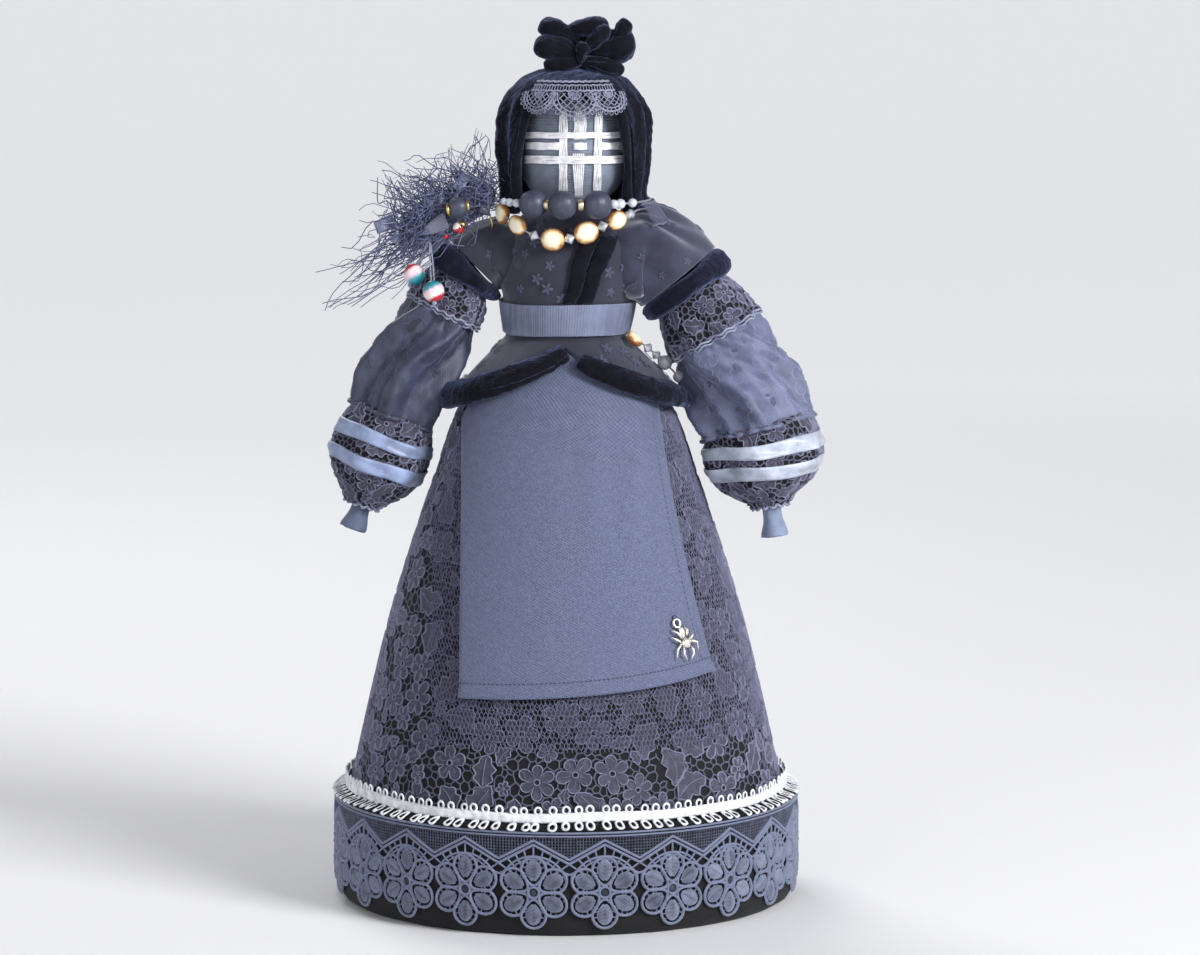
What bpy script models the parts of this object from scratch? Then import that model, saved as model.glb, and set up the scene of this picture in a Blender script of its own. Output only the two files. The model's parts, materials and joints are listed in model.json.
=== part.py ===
"""A wound cloth doll in a long black dress, standing on its stuffed skirt.

Metres, +Z up. The doll faces -Y, and the origin is the middle of its flat underside.
An angle round the doll is 0 in front and grows towards +X.
"""

import math

import bmesh
import bpy
from mathutils import Vector
from mathutils.geometry import delaunay_2d_cdt

MM = 0.001
GAP = 0.4 * MM  # between pieces that touch
LAYER_GAP = 0.8 * MM  # between cloths that lie on each other over a curve
CLOTH = 0.8 * MM

# Skirt, from the stuffed core outwards
CARD_THICKNESS = 2.0 * MM
CORE_FOOT_RADIUS = 75.0 * MM
CORE_THIGH_RADIUS = 60.3 * MM
CORE_KNEE_RADIUS = 44.2 * MM
CORE_HIP_RADIUS = 33.5 * MM
CORE_TOP_RADIUS = 15.2 * MM
HEM_HEIGHT = 38.2 * MM
THIGH_HEIGHT = 100.0 * MM
KNEE_HEIGHT = 150.0 * MM
WAIST_HEIGHT = 197.0 * MM
HIP_HEIGHT = WAIST_HEIGHT - 20.0 * MM
SKIRT_COLUMNS = 28
SKIRT_STEP = 2 * math.pi / SKIRT_COLUMNS
GATHER_COUNT = 14
GATHER_DEPTH = 1.6 * MM
NET_CLOTH = 0.5 * MM
NET_HEM_HEIGHT = 62.0 * MM
NET_LEFT_EDGE = -46.0 * MM
APRON_CLOTH = 0.7 * MM
APRON_LEFT_EDGE = -36.0 * MM
APRON_RIGHT_TOP = 30.0 * MM
APRON_RIGHT_HEM = 51.0 * MM
APRON_LEFT_HEM_HEIGHT = 79.0 * MM
APRON_RIGHT_HEM_HEIGHT = 86.0 * MM
APRON_FOLD_DEPTH = 1.2 * MM
APRON_FOLD_AT = 23.0 * MM

# Padded hem with its lace and braid
HEM_FOOT_RADIUS = CORE_FOOT_RADIUS + 2.5 * MM
HEM_RADIUS = CORE_FOOT_RADIUS + 5.6 * MM
HEM_ROUNDING = 6.0 * MM
LACE_THICKNESS = 1.0 * MM
LACE_TOP_HEIGHT = 36.5 * MM
FLOWER_COUNT = 21
FLOWER_HEIGHT = 15.6 * MM
PETAL_REACH = 7.2 * MM
PETAL_RADIUS = 4.2 * MM
BRAID_HEIGHT = 40.5 * MM
BRAID_WIDTH = 3.2 * MM
BRAID_THICKNESS = 1.5 * MM
PICOT_COUNT = 38
PICOT_REACH = 1.7 * MM

# Body and head
ROLL_RADIUS = 13.0 * MM
ROLL_FOOT_HEIGHT = 150.0 * MM
CHEST_WIDTH = 23.0 * MM
CHEST_DEPTH = 20.0 * MM
CHEST_HEIGHT = 222.0 * MM
SHOULDER_WIDTH = 18.5 * MM
SHOULDER_DEPTH = 15.5 * MM
SHOULDER_HEIGHT = 237.0 * MM
NECK_RADIUS = 10.5 * MM
TORSO_COLUMNS = 18
NECK_HEIGHT = 244.0 * MM
HEAD_OFFSET = 2.6 * MM  # the head leans this far towards +X
HEAD_RADIUS = 19.3 * MM
HEAD_HEIGHT = 264.0 * MM  # of its widest ring
HEAD_TOP = 287.0 * MM

# Dress
PEPLUM_FRONT_HEIGHT = 195.5 * MM
PEPLUM_SIDE_HEIGHT = 178.0 * MM
BELT_BOTTOM = 198.6 * MM
BELT_WIDTH = 11.0 * MM
TRIM_WIDTH = 8.0 * MM
TRIM_THICKNESS = 5.2 * MM
TRIM_DROP = 2.5 * MM
LAPEL_BOTTOM = 210.5 * MM
LAPEL_TOP = 232.5 * MM
LAPEL_THICKNESS = 2.0 * MM

# Hood
HOOD_HEM_HEIGHT = 240.5 * MM
HOOD_BROW_HEIGHT = 282.0 * MM
HOOD_ARCH_HEIGHT = 279.0 * MM  # of the opening's edge over the face
HOOD_TOP = 290.5 * MM
HOOD_FOOT_RADIUS = 24.6 * MM
HOOD_RADIUS = 26.4 * MM
HOOD_FOLD_DEPTH = 1.0 * MM
HOOD_LIFT = 1.2 * MM  # between the head and the hood's inner side
FACE_HALF_ANGLE = math.radians(55)
ROSETTE_WIDTH = 17.0 * MM
ROSETTE_OFFSET = 7.2 * MM
ROSETTE_TOP = 308.0 * MM
FRILL_TOP = 287.5 * MM
FRILL_BOTTOM = 280.5 * MM
FRILL_FANS = 5

# Arms: every station is the distance from the shoulder end, along the arm
ARM_RADIUS = 3.4 * MM
HAND_RADIUS = 4.6 * MM
RIBBON_WIDTH = 5.0 * MM
RIBBON_THICKNESS = 0.6 * MM
SLEEVE_COLUMNS = 10

# Beads and strings
STRING_RADIUS = 0.4 * MM
BORE_GAP = 0.3 * MM
BLACK_BEAD_RADIUS = 4.9 * MM
NECKLACE_RADIUS = 26.9 * MM
UPPER_STRING_HEIGHT = 244.8 * MM
LOWER_STRING_HEIGHT = 242.2 * MM
CHARM_BEAD_RADIUS = 3.75 * MM


def clear_scene():
    for item in list(bpy.data.objects):
        bpy.data.objects.remove(item, do_unlink=True)


def make_material(name, colour, roughness, metallic=0.0):
    material = bpy.data.materials.new(name)
    material.use_nodes = True
    shader = material.node_tree.nodes["Principled BSDF"]
    shader.inputs["Base Color"].default_value = (*colour, 1.0)
    shader.inputs["Roughness"].default_value = roughness
    shader.inputs["Metallic"].default_value = metallic
    return material


def add_solid(name, points, faces, material):
    mesh = bpy.data.meshes.new(name)
    mesh.from_pydata([tuple(p) for p in points], [], faces)
    body = bmesh.new()
    body.from_mesh(mesh)
    bmesh.ops.recalc_face_normals(body, faces=body.faces)
    body.to_mesh(mesh)
    body.free()
    mesh.shade_smooth()
    mesh.set_sharp_from_angle(angle=math.radians(40))
    mesh.materials.append(material)
    solid = bpy.data.objects.new(name, mesh)
    bpy.context.scene.collection.objects.link(solid)
    return solid


def steps(first, last, count):
    return [first + (last - first) * k / count for k in range(count + 1)]


def turn(count):
    return [2 * math.pi * k / count for k in range(count)]


def along(knots, at):
    """The value at a place, on a smooth curve through pairs of place and value."""
    if at <= knots[0][0]:
        return knots[0][1]
    if at >= knots[-1][0]:
        return knots[-1][1]
    k = max(i for i in range(len(knots) - 1) if knots[i][0] <= at)
    here, there = knots[k], knots[k + 1]
    before = knots[max(k - 1, 0)]
    after = knots[min(k + 2, len(knots) - 1)]
    slope_here = (there[1] - before[1]) / (there[0] - before[0])
    slope_there = (after[1] - here[1]) / (after[0] - here[0])
    width = there[0] - here[0]
    t = (at - here[0]) / width
    start = (2 * t**3 - 3 * t**2 + 1) * here[1] + (t**3 - 2 * t**2 + t) * width * slope_here
    end = (3 * t**2 - 2 * t**3) * there[1] + (t**3 - t**2) * width * slope_there
    return start + end


def smooth(value):
    t = min(1.0, max(0.0, value))
    return t * t * (3 - 2 * t)


def slab(name, inner, outer, material, closed=False):
    """A closed solid between two grids of points. Each grid is a list of rows.

    A closed slab goes right round, and its inner grid may have fewer rows.
    """
    columns = len(outer[0])
    points = [p for row in outer + inner for p in row]
    first_inner = len(outer) * columns
    spans = columns if closed else columns - 1

    def at(start, row, column):
        return start + row * columns + column % columns

    faces = []
    for start, rows in ((0, len(outer)), (first_inner, len(inner))):
        for r in range(rows - 1):
            for c in range(spans):
                low = (at(start, r, c), at(start, r, c + 1))
                high = (at(start, r + 1, c + 1), at(start, r + 1, c))
                faces.append(low + high if start == 0 else (low + high)[::-1])
    for c in range(spans):
        for outer_row, inner_row in ((0, 0), (len(outer) - 1, len(inner) - 1)):
            outside = (at(0, outer_row, c), at(0, outer_row, c + 1))
            inside = (at(first_inner, inner_row, c + 1), at(first_inner, inner_row, c))
            faces.append((outside + inside)[::-1] if outer_row == 0 else outside + inside)
    if not closed:
        for r in range(len(outer) - 1):
            for c in (0, columns - 1):
                outside = (at(0, r, c), at(0, r + 1, c))
                inside = (at(first_inner, r + 1, c), at(first_inner, r, c))
                faces.append(outside + inside)
    return add_solid(name, points, faces, material)


def loft(name, rings, material, closed=False):
    """A solid through rings of points, with flat ends, or joined end to end."""
    sides = len(rings[0])
    points = [p for ring in rings for p in ring]
    faces = []
    for r in range(len(rings) if closed else len(rings) - 1):
        low, high = r * sides, (r + 1) % len(rings) * sides
        for k in range(sides):
            other = (k + 1) % sides
            faces.append((low + k, low + other, high + other, high + k))
    if not closed:
        faces.append(tuple(range(sides))[::-1])
        faces.append(tuple(range(len(points) - sides, len(points))))
    return add_solid(name, points, faces, material)


def tube(name, path, radii, sides, material, closed=False):
    """A round string along a path, with a radius for each of its points."""
    rings = []
    side = None
    for k, point in enumerate(path):
        after = path[(k + 1) % len(path)] if closed or k + 1 < len(path) else point
        before = path[k - 1] if closed or k > 0 else point
        heading = (after - before).normalized()
        if side is None:
            side = heading.orthogonal()
        side = (side - heading * side.dot(heading)).normalized()
        other = heading.cross(side)
        ring = [point + (side * math.cos(a) + other * math.sin(a)) * radii[k] for a in turn(sides)]
        rings.append(ring)
    return loft(name, rings, material, closed)


def bead(name, centre, axis, radius, length, bore, material, flat=1.0, face=None, sides=8):
    """A turned bead with a bore along its axis, made thinner towards face by the factor flat."""
    axis = axis.normalized()
    face = (face or axis.orthogonal()).normalized()
    face = (face - axis * face.dot(axis)).normalized()
    across = axis.cross(face)
    rings = []
    outline = [(bore, -0.46), (0.6 * radius, -0.5), (0.97 * radius, -0.2)]
    outline += [(reach, -place) for reach, place in outline[::-1]]
    for reach, place in outline:
        ring = []
        for a in turn(sides):
            thin = face * math.sin(a) * max(reach * flat, bore)
            ring.append(centre + axis * place * length + across * math.cos(a) * reach + thin)
        rings.append(ring)
    return loft(name, rings, material, closed=True)


# The skirt's own shape

SKIRT_OUTLINE = (
    (HEM_HEIGHT, CORE_FOOT_RADIUS),
    (THIGH_HEIGHT, CORE_THIGH_RADIUS),
    (KNEE_HEIGHT, CORE_KNEE_RADIUS),
    (HIP_HEIGHT, CORE_HIP_RADIUS),
    (WAIST_HEIGHT, CORE_TOP_RADIUS),
)
LACE_OFF = GAP
NET_OFF = LACE_OFF + CLOTH + LAYER_GAP
APRON_OFF = NET_OFF + NET_CLOTH + 1.25 * LAYER_GAP
PEPLUM_OFF = APRON_OFF + APRON_CLOTH + LAYER_GAP
DRESS_OFF = PEPLUM_OFF + CLOTH


def round_point(radius, angle, height):
    return Vector((radius * math.sin(angle), -radius * math.cos(angle), height))


def skirt_radius(height, off=0.0):
    return along(SKIRT_OUTLINE, height) + off


def skirt_point(angle, height, off):
    return round_point(skirt_radius(height, off), angle, height)


def gather(angle, height):
    """How far the cloth stands out in the gathers behind; it is smooth in front."""
    share = (height - HEM_HEIGHT) / (HIP_HEIGHT - HEM_HEIGHT)
    if not 0 < share < 1:
        return 0.0
    behind = smooth(-math.cos(angle) * 1.6)
    wave = 0.5 + 0.5 * math.cos(GATHER_COUNT * angle)
    return GATHER_DEPTH * behind * wave * math.sin(math.pi * share)


def skirt_rows():
    low = steps(HEM_HEIGHT + GAP, KNEE_HEIGHT, 3)
    return low + steps(KNEE_HEIGHT, WAIST_HEIGHT, 3)[1:]


def build_skirt(cloths):
    angles = turn(SKIRT_COLUMNS)
    card = [[round_point(CORE_FOOT_RADIUS, a, z) for a in angles] for z in (0.0, CARD_THICKNESS)]
    loft("base_disc", card, cloths["card"])

    floor = CARD_THICKNESS + GAP
    well = ROLL_RADIUS + 2 * GAP
    heights = [floor] + skirt_rows()[1:]
    core = [[skirt_point(a, z, 0.0) for a in angles[::2]] for z in heights]
    well_floor = ROLL_FOOT_HEIGHT - GAP
    core += [[round_point(well, a, z) for a in angles[::2]] for z in (WAIST_HEIGHT, well_floor)]
    loft("skirt_filling", core, cloths["cotton"])

    inner = [[skirt_point(a, z, LACE_OFF + gather(a, z)) for a in angles] for z in skirt_rows()]
    outer = []
    for z in skirt_rows():
        outer.append([skirt_point(a, z, LACE_OFF + CLOTH + gather(a, z)) for a in angles])
    slab("lace_skirt", inner, outer, cloths["lace"], closed=True)


def net_columns(height):
    """Angles across the net panel. All but the first two lie on the skirt's own columns."""
    left = math.asin(max(-0.9, NET_LEFT_EDGE / skirt_radius(height, NET_OFF)))
    first = -3 * SKIRT_STEP
    return [left, (left + first) / 2] + [k * SKIRT_STEP for k in range(-3, 7)]


def apron_edges(height):
    radius = skirt_radius(height, APRON_OFF)
    share = (WAIST_HEIGHT - height) / (WAIST_HEIGHT - APRON_RIGHT_HEM_HEIGHT)
    right = APRON_RIGHT_TOP + (APRON_RIGHT_HEM - APRON_RIGHT_TOP) * share**1.5
    left = math.asin(max(-0.88, APRON_LEFT_EDGE / radius))
    return left, math.asin(min(0.88, right / radius))


def apron_lift(angle, height):
    """The soft fold that runs down from the waist."""
    radius = skirt_radius(height, APRON_OFF)
    from_fold = (radius * math.sin(angle) - APRON_FOLD_AT) / (5 * MM)
    fade = smooth((height - KNEE_HEIGHT * 0.8) / (KNEE_HEIGHT * 0.2))
    fade *= smooth((HIP_HEIGHT + GAP - height) / (HIP_HEIGHT - KNEE_HEIGHT) * 1.5)
    return APRON_FOLD_DEPTH * math.exp(-from_fold**2) * fade


def build_panels(cloths):
    """The net panel and the apron, which hang from the waist in front."""
    rows = [NET_HEM_HEIGHT] + [z for z in skirt_rows() if z > NET_HEM_HEIGHT + 10 * MM]
    grids = []
    for off in (NET_OFF, NET_OFF + NET_CLOTH):
        grids.append([[skirt_point(a, z, off) for a in net_columns(z)] for z in rows])
    slab("net_overskirt", *grids, cloths["net"])

    columns = 11
    hem_slope = APRON_RIGHT_HEM_HEIGHT - APRON_LEFT_HEM_HEIGHT
    rows = [None] + [z for z in skirt_rows() if z > APRON_RIGHT_HEM_HEIGHT + 5 * MM]
    grids = []
    for off in (APRON_OFF, APRON_OFF + APRON_CLOTH):
        grid = []
        for level in rows:
            row = []
            for k in range(columns):
                across = k / (columns - 1)
                z = level or APRON_LEFT_HEM_HEIGHT + hem_slope * across
                left, right = apron_edges(z)
                angle = left + (right - left) * across
                row.append(skirt_point(angle, z, off + apron_lift(angle, z)))
            grid.append(row)
        grids.append(grid)
    slab("apron", *grids, cloths["apron"])


def build_hem(cloths):
    angles = turn(SKIRT_COLUMNS)
    profile = [
        (HEM_FOOT_RADIUS, 0.0),
        (HEM_RADIUS, HEM_ROUNDING),
        (HEM_RADIUS, HEM_HEIGHT - HEM_ROUNDING),
        (HEM_FOOT_RADIUS, HEM_HEIGHT),
    ]
    outer = [[round_point(r, a, z) for a in angles] for r, z in profile]
    inside = CORE_FOOT_RADIUS + GAP
    inner = [[round_point(inside, a, z) for a in angles] for z in (0.0, HEM_HEIGHT)]
    slab("hem_band", inner, outer, cloths["lining"], closed=True)

    inside = skirt_radius(HEM_HEIGHT, LACE_OFF + CLOTH + GAP)
    columns = turn(2 * PICOT_COUNT)
    outer, inner = [], []
    for side in (-1, 1):
        reach = [side * (BRAID_WIDTH / 2 + PICOT_REACH * (k % 2)) for k in range(len(columns))]
        # the lower picots stop above the padded hem
        level = [max(BRAID_HEIGHT + up, HEM_HEIGHT + GAP) for up in reach]
        spots = list(zip(columns, level))
        outer.append([round_point(inside + BRAID_THICKNESS, a, z) for a, z in spots])
        inner.append([round_point(inside, a, z) for a, z in spots])
    slab("picot_braid", inner, outer, cloths["white"], closed=True)
    build_hem_lace(cloths)


def arc(centre, radius, start, end, count):
    spots = []
    for a in steps(math.radians(start), math.radians(end), count):
        spots.append((centre[0] + radius * math.cos(a), centre[1] + radius * math.sin(a)))
    return spots


def lace_repeat(pitch):
    """One repeat of the hem lace from a flower's middle to the next, as a flat outline and holes."""
    tip = FLOWER_HEIGHT - PETAL_REACH
    side_reach = (PETAL_REACH * math.cos(math.pi / 6), -PETAL_REACH * math.sin(math.pi / 6))
    side_petal = (side_reach[0], FLOWER_HEIGHT + side_reach[1])
    left = arc((0.0, tip), PETAL_RADIUS, -90, 0, 2)
    left += arc(side_petal, PETAL_RADIUS, -105, -20, 2)
    right = [(pitch - u, z) for u, z in left][::-1]
    top = [(pitch * k / 2, LACE_TOP_HEIGHT) for k in (2, 1, 0)]
    outline = left + right + top
    holes = []
    half = pitch / 2
    eyelet = 1.7 * MM
    rise = FLOWER_HEIGHT + PETAL_REACH
    spots = [(half, FLOWER_HEIGHT + 0.45 * PETAL_REACH, 2.3 * MM)]
    for u in (0.24, 0.76):
        spots.append((pitch * u, rise + 2.6 * MM, eyelet))
    for u, z, size in spots:
        holes.append([(u - size, z), (u, z + 1.2 * size), (u + size, z), (u, z - 1.2 * size)])
    return outline, holes


def inside_outline(spot, outline):
    """Whether a flat spot lies inside a convex outline, given turning either way."""
    signs = set()
    for k, (u, z) in enumerate(outline):
        after = outline[(k + 1) % len(outline)]
        signs.add((after[0] - u) * (spot.y - z) - (after[1] - z) * (spot.x - u) > 0)
    return len(signs) == 1


def build_hem_lace(cloths):
    """The scalloped lace round the hem, one flat repeat copied and wrapped."""
    inside = HEM_RADIUS + GAP
    pitch = 2 * math.pi * inside / FLOWER_COUNT
    outline, holes = lace_repeat(pitch)
    spots, edges = [], []
    for loop in [outline] + holes:
        start = len(spots)
        spots += [Vector(p) for p in loop]
        edges += [(start + k, start + (k + 1) % len(loop)) for k in range(len(loop))]
    flat, _, triangles, _, _, _ = delaunay_2d_cdt(spots, edges, [], 1, 1e-9)
    faces = []
    for triangle in triangles:
        middle = sum((flat[k] for k in triangle), Vector((0.0, 0.0))) / 3
        if not any(inside_outline(middle, hole) for hole in holes):
            faces.append(triangle)
    body = bmesh.new()
    for repeat in range(FLOWER_COUNT):
        corners = []
        for spot in flat:
            # two flowers stand side by side in front
            angle = (spot.x + (repeat + 0.5) * pitch) / inside
            corners.append(body.verts.new(round_point(inside, angle, spot.y)))
        for face in faces:
            body.faces.new([corners[k] for k in face])
    bmesh.ops.remove_doubles(body, verts=body.verts, dist=0.01 * MM)
    skin = bmesh.ops.extrude_face_region(body, geom=list(body.faces))
    stretch = (inside + LACE_THICKNESS) / inside
    for item in skin["geom"]:
        if isinstance(item, bmesh.types.BMVert):
            item.co.x *= stretch
            item.co.y *= stretch
    points = [v.co.copy() for v in body.verts]
    body.verts.index_update()
    faces = [[v.index for v in face.verts] for face in body.faces]
    body.free()
    add_solid("hem_lace", points, faces, cloths["lace"])


# The body and the bodice

DRESS_WAIST = skirt_radius(WAIST_HEIGHT, PEPLUM_OFF)
TORSO_WIDTHS = (
    (WAIST_HEIGHT, DRESS_WAIST),
    (CHEST_HEIGHT, CHEST_WIDTH),
    (SHOULDER_HEIGHT, SHOULDER_WIDTH),
    (NECK_HEIGHT, NECK_RADIUS),
)
TORSO_DEPTHS = (
    (WAIST_HEIGHT, DRESS_WAIST),
    (CHEST_HEIGHT, CHEST_DEPTH),
    (SHOULDER_HEIGHT, SHOULDER_DEPTH),
    (NECK_HEIGHT, NECK_RADIUS),
)


def lean(height):
    share = (height - WAIST_HEIGHT) / (NECK_HEIGHT - WAIST_HEIGHT)
    return HEAD_OFFSET * min(1.0, max(0.0, share))


def torso_point(angle, height, off):
    """A point on the torso, off away from the dress's inner side."""
    width = along(TORSO_WIDTHS, height) + off
    depth = along(TORSO_DEPTHS, height) + off
    return Vector((lean(height) + width * math.sin(angle), -depth * math.cos(angle), height))


def torso_angle(x, height):
    width = along(TORSO_WIDTHS, height)
    return math.asin(max(-0.99, min(0.99, (x - lean(height)) / width)))


def peplum_edge(angle):
    """The height of the peplum's lower edge: an open V in front, level behind."""
    if abs(math.remainder(angle, 2 * math.pi)) > math.pi / 2:
        return PEPLUM_SIDE_HEIGHT
    return PEPLUM_FRONT_HEIGHT + (PEPLUM_SIDE_HEIGHT - PEPLUM_FRONT_HEIGHT) * abs(math.sin(angle))


def torso_rows():
    return steps(WAIST_HEIGHT, CHEST_HEIGHT, 2) + steps(CHEST_HEIGHT, SHOULDER_HEIGHT, 2)[1:] + [NECK_HEIGHT]


def build_torso(cloths):
    angles = turn(TORSO_COLUMNS)[::2]
    rings = []
    for z in (ROLL_FOOT_HEIGHT, WAIST_HEIGHT):
        rings.append([round_point(ROLL_RADIUS, a, z) for a in angles])
    rings.append([torso_point(a, WAIST_HEIGHT + GAP, -GAP) for a in angles])
    rings += [[torso_point(a, z, -GAP) for a in angles] for z in torso_rows()[1:]]
    loft("torso_roll", rings, cloths["cotton"])

    columns = turn(TORSO_COLUMNS)
    grids = []
    for off in (0.0, CLOTH):
        grid = []
        for share in (0.0, 0.5):
            row = []
            for a in columns:
                edge = peplum_edge(a)
                z = edge + (WAIST_HEIGHT - edge) * share
                row.append(skirt_point(a, z, PEPLUM_OFF + off))
            grid.append(row)
        grid += [[torso_point(a, z, off) for a in columns] for z in torso_rows()]
        grids.append(grid)
    slab("bodice", *grids, cloths["bodice"], closed=True)

    belt_in, belt_out = CLOTH + GAP, 2 * CLOTH + GAP
    heights = (BELT_BOTTOM, BELT_BOTTOM + BELT_WIDTH)
    inner = [[torso_point(a, z, belt_in) for a in columns] for z in heights]
    outer = [[torso_point(a, z, belt_out) for a in columns] for z in heights]
    slab("waist_ribbon", inner, outer, cloths["grosgrain"], closed=True)
    build_lapels(cloths)
    build_peplum_trims(cloths)


def build_lapels(cloths):
    """Two velvet strips side by side, slanting down the front of the bodice."""
    low_middle, high_middle = 3.9 * MM, 11.3 * MM
    low_half, high_half = 2.4 * MM, 3.2 * MM
    columns = 4
    for name, side in (("lapel_left", -1), ("lapel_right", 1)):
        grids = []
        for outside in (0, 1):
            grid = []
            for share in steps(0.0, 1.0, 3):
                z = LAPEL_BOTTOM + (LAPEL_TOP - LAPEL_BOTTOM) * share
                half = low_half + (high_half - low_half) * share
                middle = low_middle + (high_middle - low_middle) * share
                middle += side * (half + GAP / 2)
                row = []
                for across in steps(-1.0, 1.0, columns):
                    crown = LAPEL_THICKNESS * (0.35 + 0.65 * (1 - across**2) ** 0.5)
                    off = CLOTH + 1.5 * GAP + crown * outside
                    row.append(torso_point(torso_angle(middle + across * half, z), z, off))
                grid.append(row)
            grids.append(grid)
        slab(name, *grids, cloths["velvet"])


def dress_normal(angle, height):
    """The outward direction of the peplum at a place on it."""
    step = 1 * MM
    low, high = skirt_point(angle, height - step, 0), skirt_point(angle, height + step, 0)
    sideways = Vector((math.cos(angle), math.sin(angle), 0.0))
    return sideways.cross(high - low).normalized()


def build_peplum_trims(cloths):
    """A fat velvet roll along each half of the peplum's open V."""
    sides = 8
    for name, side in (("peplum_trim_left", -1), ("peplum_trim_right", 1)):
        rings = []
        stations = 8
        for k in range(stations + 1):
            share = k / stations
            angle = side * math.radians(9 + 71 * share)
            z = peplum_edge(angle) - TRIM_DROP
            swell = 0.72 + 0.28 * math.sin(math.pi * share) + (0.2 * share if side < 0 else 0.0)
            swell *= min(1.0, 0.55 + 3 * share, 0.5 + 4 * (1 - share))
            half_width = TRIM_WIDTH / 2 * swell
            half_depth = TRIM_THICKNESS / 2 * swell
            outward = dress_normal(angle, z)
            heading = skirt_point(angle + side * 0.02, z - 0.2 * MM, 0) - skirt_point(angle, z, 0)
            across = outward.cross(heading).normalized()
            middle = skirt_point(angle, z, DRESS_OFF) + outward * (half_depth - 0.5 * GAP)
            ring = []
            for a in turn(sides):
                ring.append(middle + outward * half_depth * math.cos(a) + across * half_width * math.sin(a))
            rings.append(ring)
        loft(name, rings, cloths["velvet"])


# The head, the hood and what is on them

HEAD_OUTLINE = (
    (NECK_HEIGHT + GAP, NECK_RADIUS),
    (NECK_HEIGHT + 4 * MM, 15.0 * MM),
    (HEAD_HEIGHT - 10 * MM, HEAD_RADIUS - 1.1 * MM),
    (HEAD_HEIGHT, HEAD_RADIUS),
    (HEAD_HEIGHT + 10 * MM, HEAD_RADIUS - 1.3 * MM),
    (HEAD_TOP - 5 * MM, 13.0 * MM),
    (HEAD_TOP - 1.2 * MM, 7.0 * MM),
    (HEAD_TOP, 2.5 * MM),
)
HOOD_OUTLINE = (
    (HOOD_HEM_HEIGHT, HOOD_FOOT_RADIUS),
    (NECK_HEIGHT + 4 * MM, HOOD_FOOT_RADIUS + 0.4 * MM),
    (HEAD_HEIGHT, HOOD_RADIUS),
    (HEAD_HEIGHT + 12 * MM, HOOD_RADIUS - 0.8 * MM),
    (HEAD_TOP - 1 * MM, 19.0 * MM),
    (HOOD_TOP, 10.0 * MM),
)


def head_point(angle, height, off):
    radius = along(HEAD_OUTLINE, height) + off
    return round_point(radius, angle, height) + Vector((HEAD_OFFSET, 0, 0))


def hood_point(angle, height, off=0.0):
    """A point on the outside of the hood, with its long folds beside the face."""
    beside = math.exp(-(((abs(angle) - math.radians(80)) / math.radians(35)) ** 2))
    fold = HOOD_FOLD_DEPTH * beside * math.cos(angle * 12)
    lift = smooth((height - NECK_HEIGHT - 4 * MM) / (6 * MM)) * smooth((HEAD_TOP - height) / (8 * MM))
    radius = along(HOOD_OUTLINE, height) + fold * lift + off
    return round_point(radius, angle, height) + Vector((HEAD_OFFSET, 0, 0))


def hood_edge(angle):
    """The height of the hood's lower edge, which arches over the face."""
    open_share = 1 - smooth((abs(angle) - FACE_HALF_ANGLE) / math.radians(9) + 0.5)
    return HOOD_HEM_HEIGHT + (HOOD_ARCH_HEIGHT - HOOD_HEM_HEIGHT) * open_share


def hood_angles():
    """Columns round the hood, close together at the two sides of the face."""
    turns = steps(0.0, 1.0, 11)
    half = [math.pi * along(((0.0, 0.0), (0.35, 0.27), (0.6, 0.42), (1.0, 1.0)), t) for t in turns]
    return [-a for a in half[:0:-1]] + half[:-1]


def build_head(cloths):
    columns = turn(16)
    heights = [place for place, _ in HEAD_OUTLINE]
    loft("head", [[head_point(a, z, 0.0) for a in columns] for z in heights], cloths["face"])
    build_face(cloths)

    inner, outer = [], []
    crown = (HOOD_BROW_HEIGHT + HOOD_TOP) / 2
    for share, top in ((0.0, 0), (0.33, 0), (0.67, 0), (1.0, 0), (1.0, crown), (1.0, HOOD_TOP)):
        inside, outside = [], []
        under = HEAD_RADIUS + HOOD_LIFT
        if top:
            under = HEAD_RADIUS * (0.62 if top < HOOD_TOP else 0.22)
        for a in hood_angles():
            edge = hood_edge(a)
            z = top or edge + (HOOD_BROW_HEIGHT - edge) * share
            outside.append(hood_point(a, z))
            inside.append(round_point(under, a, z) + Vector((HEAD_OFFSET, 0, 0)))
        inner.append(inside)
        outer.append(outside)
    slab("velvet_hood", inner, outer, cloths["velvet"], closed=True)
    build_rosette(cloths)
    build_frill(cloths)


def build_rosette(cloths):
    """The gathered velvet knot on top of the hood, one closed lobed form."""
    columns, rows = 16, 6
    foot = HOOD_TOP + GAP
    middle = (foot + ROSETTE_TOP) / 2
    half_height = (ROSETTE_TOP - foot) / 2
    rings = []
    for r in range(rows + 1):
        tilt = math.pi * (0.08 + 0.84 * r / rows)
        height = middle - half_height * math.cos(tilt)
        ring = []
        for a in turn(columns):
            lobes = 1 + 0.16 * math.cos(5 * a + 0.6) * math.sin(tilt)
            reach = ROSETTE_WIDTH * 0.9 * math.sin(tilt) ** 0.7 * lobes
            sag = 0.0 if r == 0 else 1.6 * MM * math.cos(3 * a) * math.sin(tilt)
            ring.append(Vector((ROSETTE_OFFSET + reach * math.sin(a), -0.8 * reach * math.cos(a), height + sag)))
        rings.append(ring)
    loft("velvet_rosette", rings, cloths["velvet"])


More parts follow.
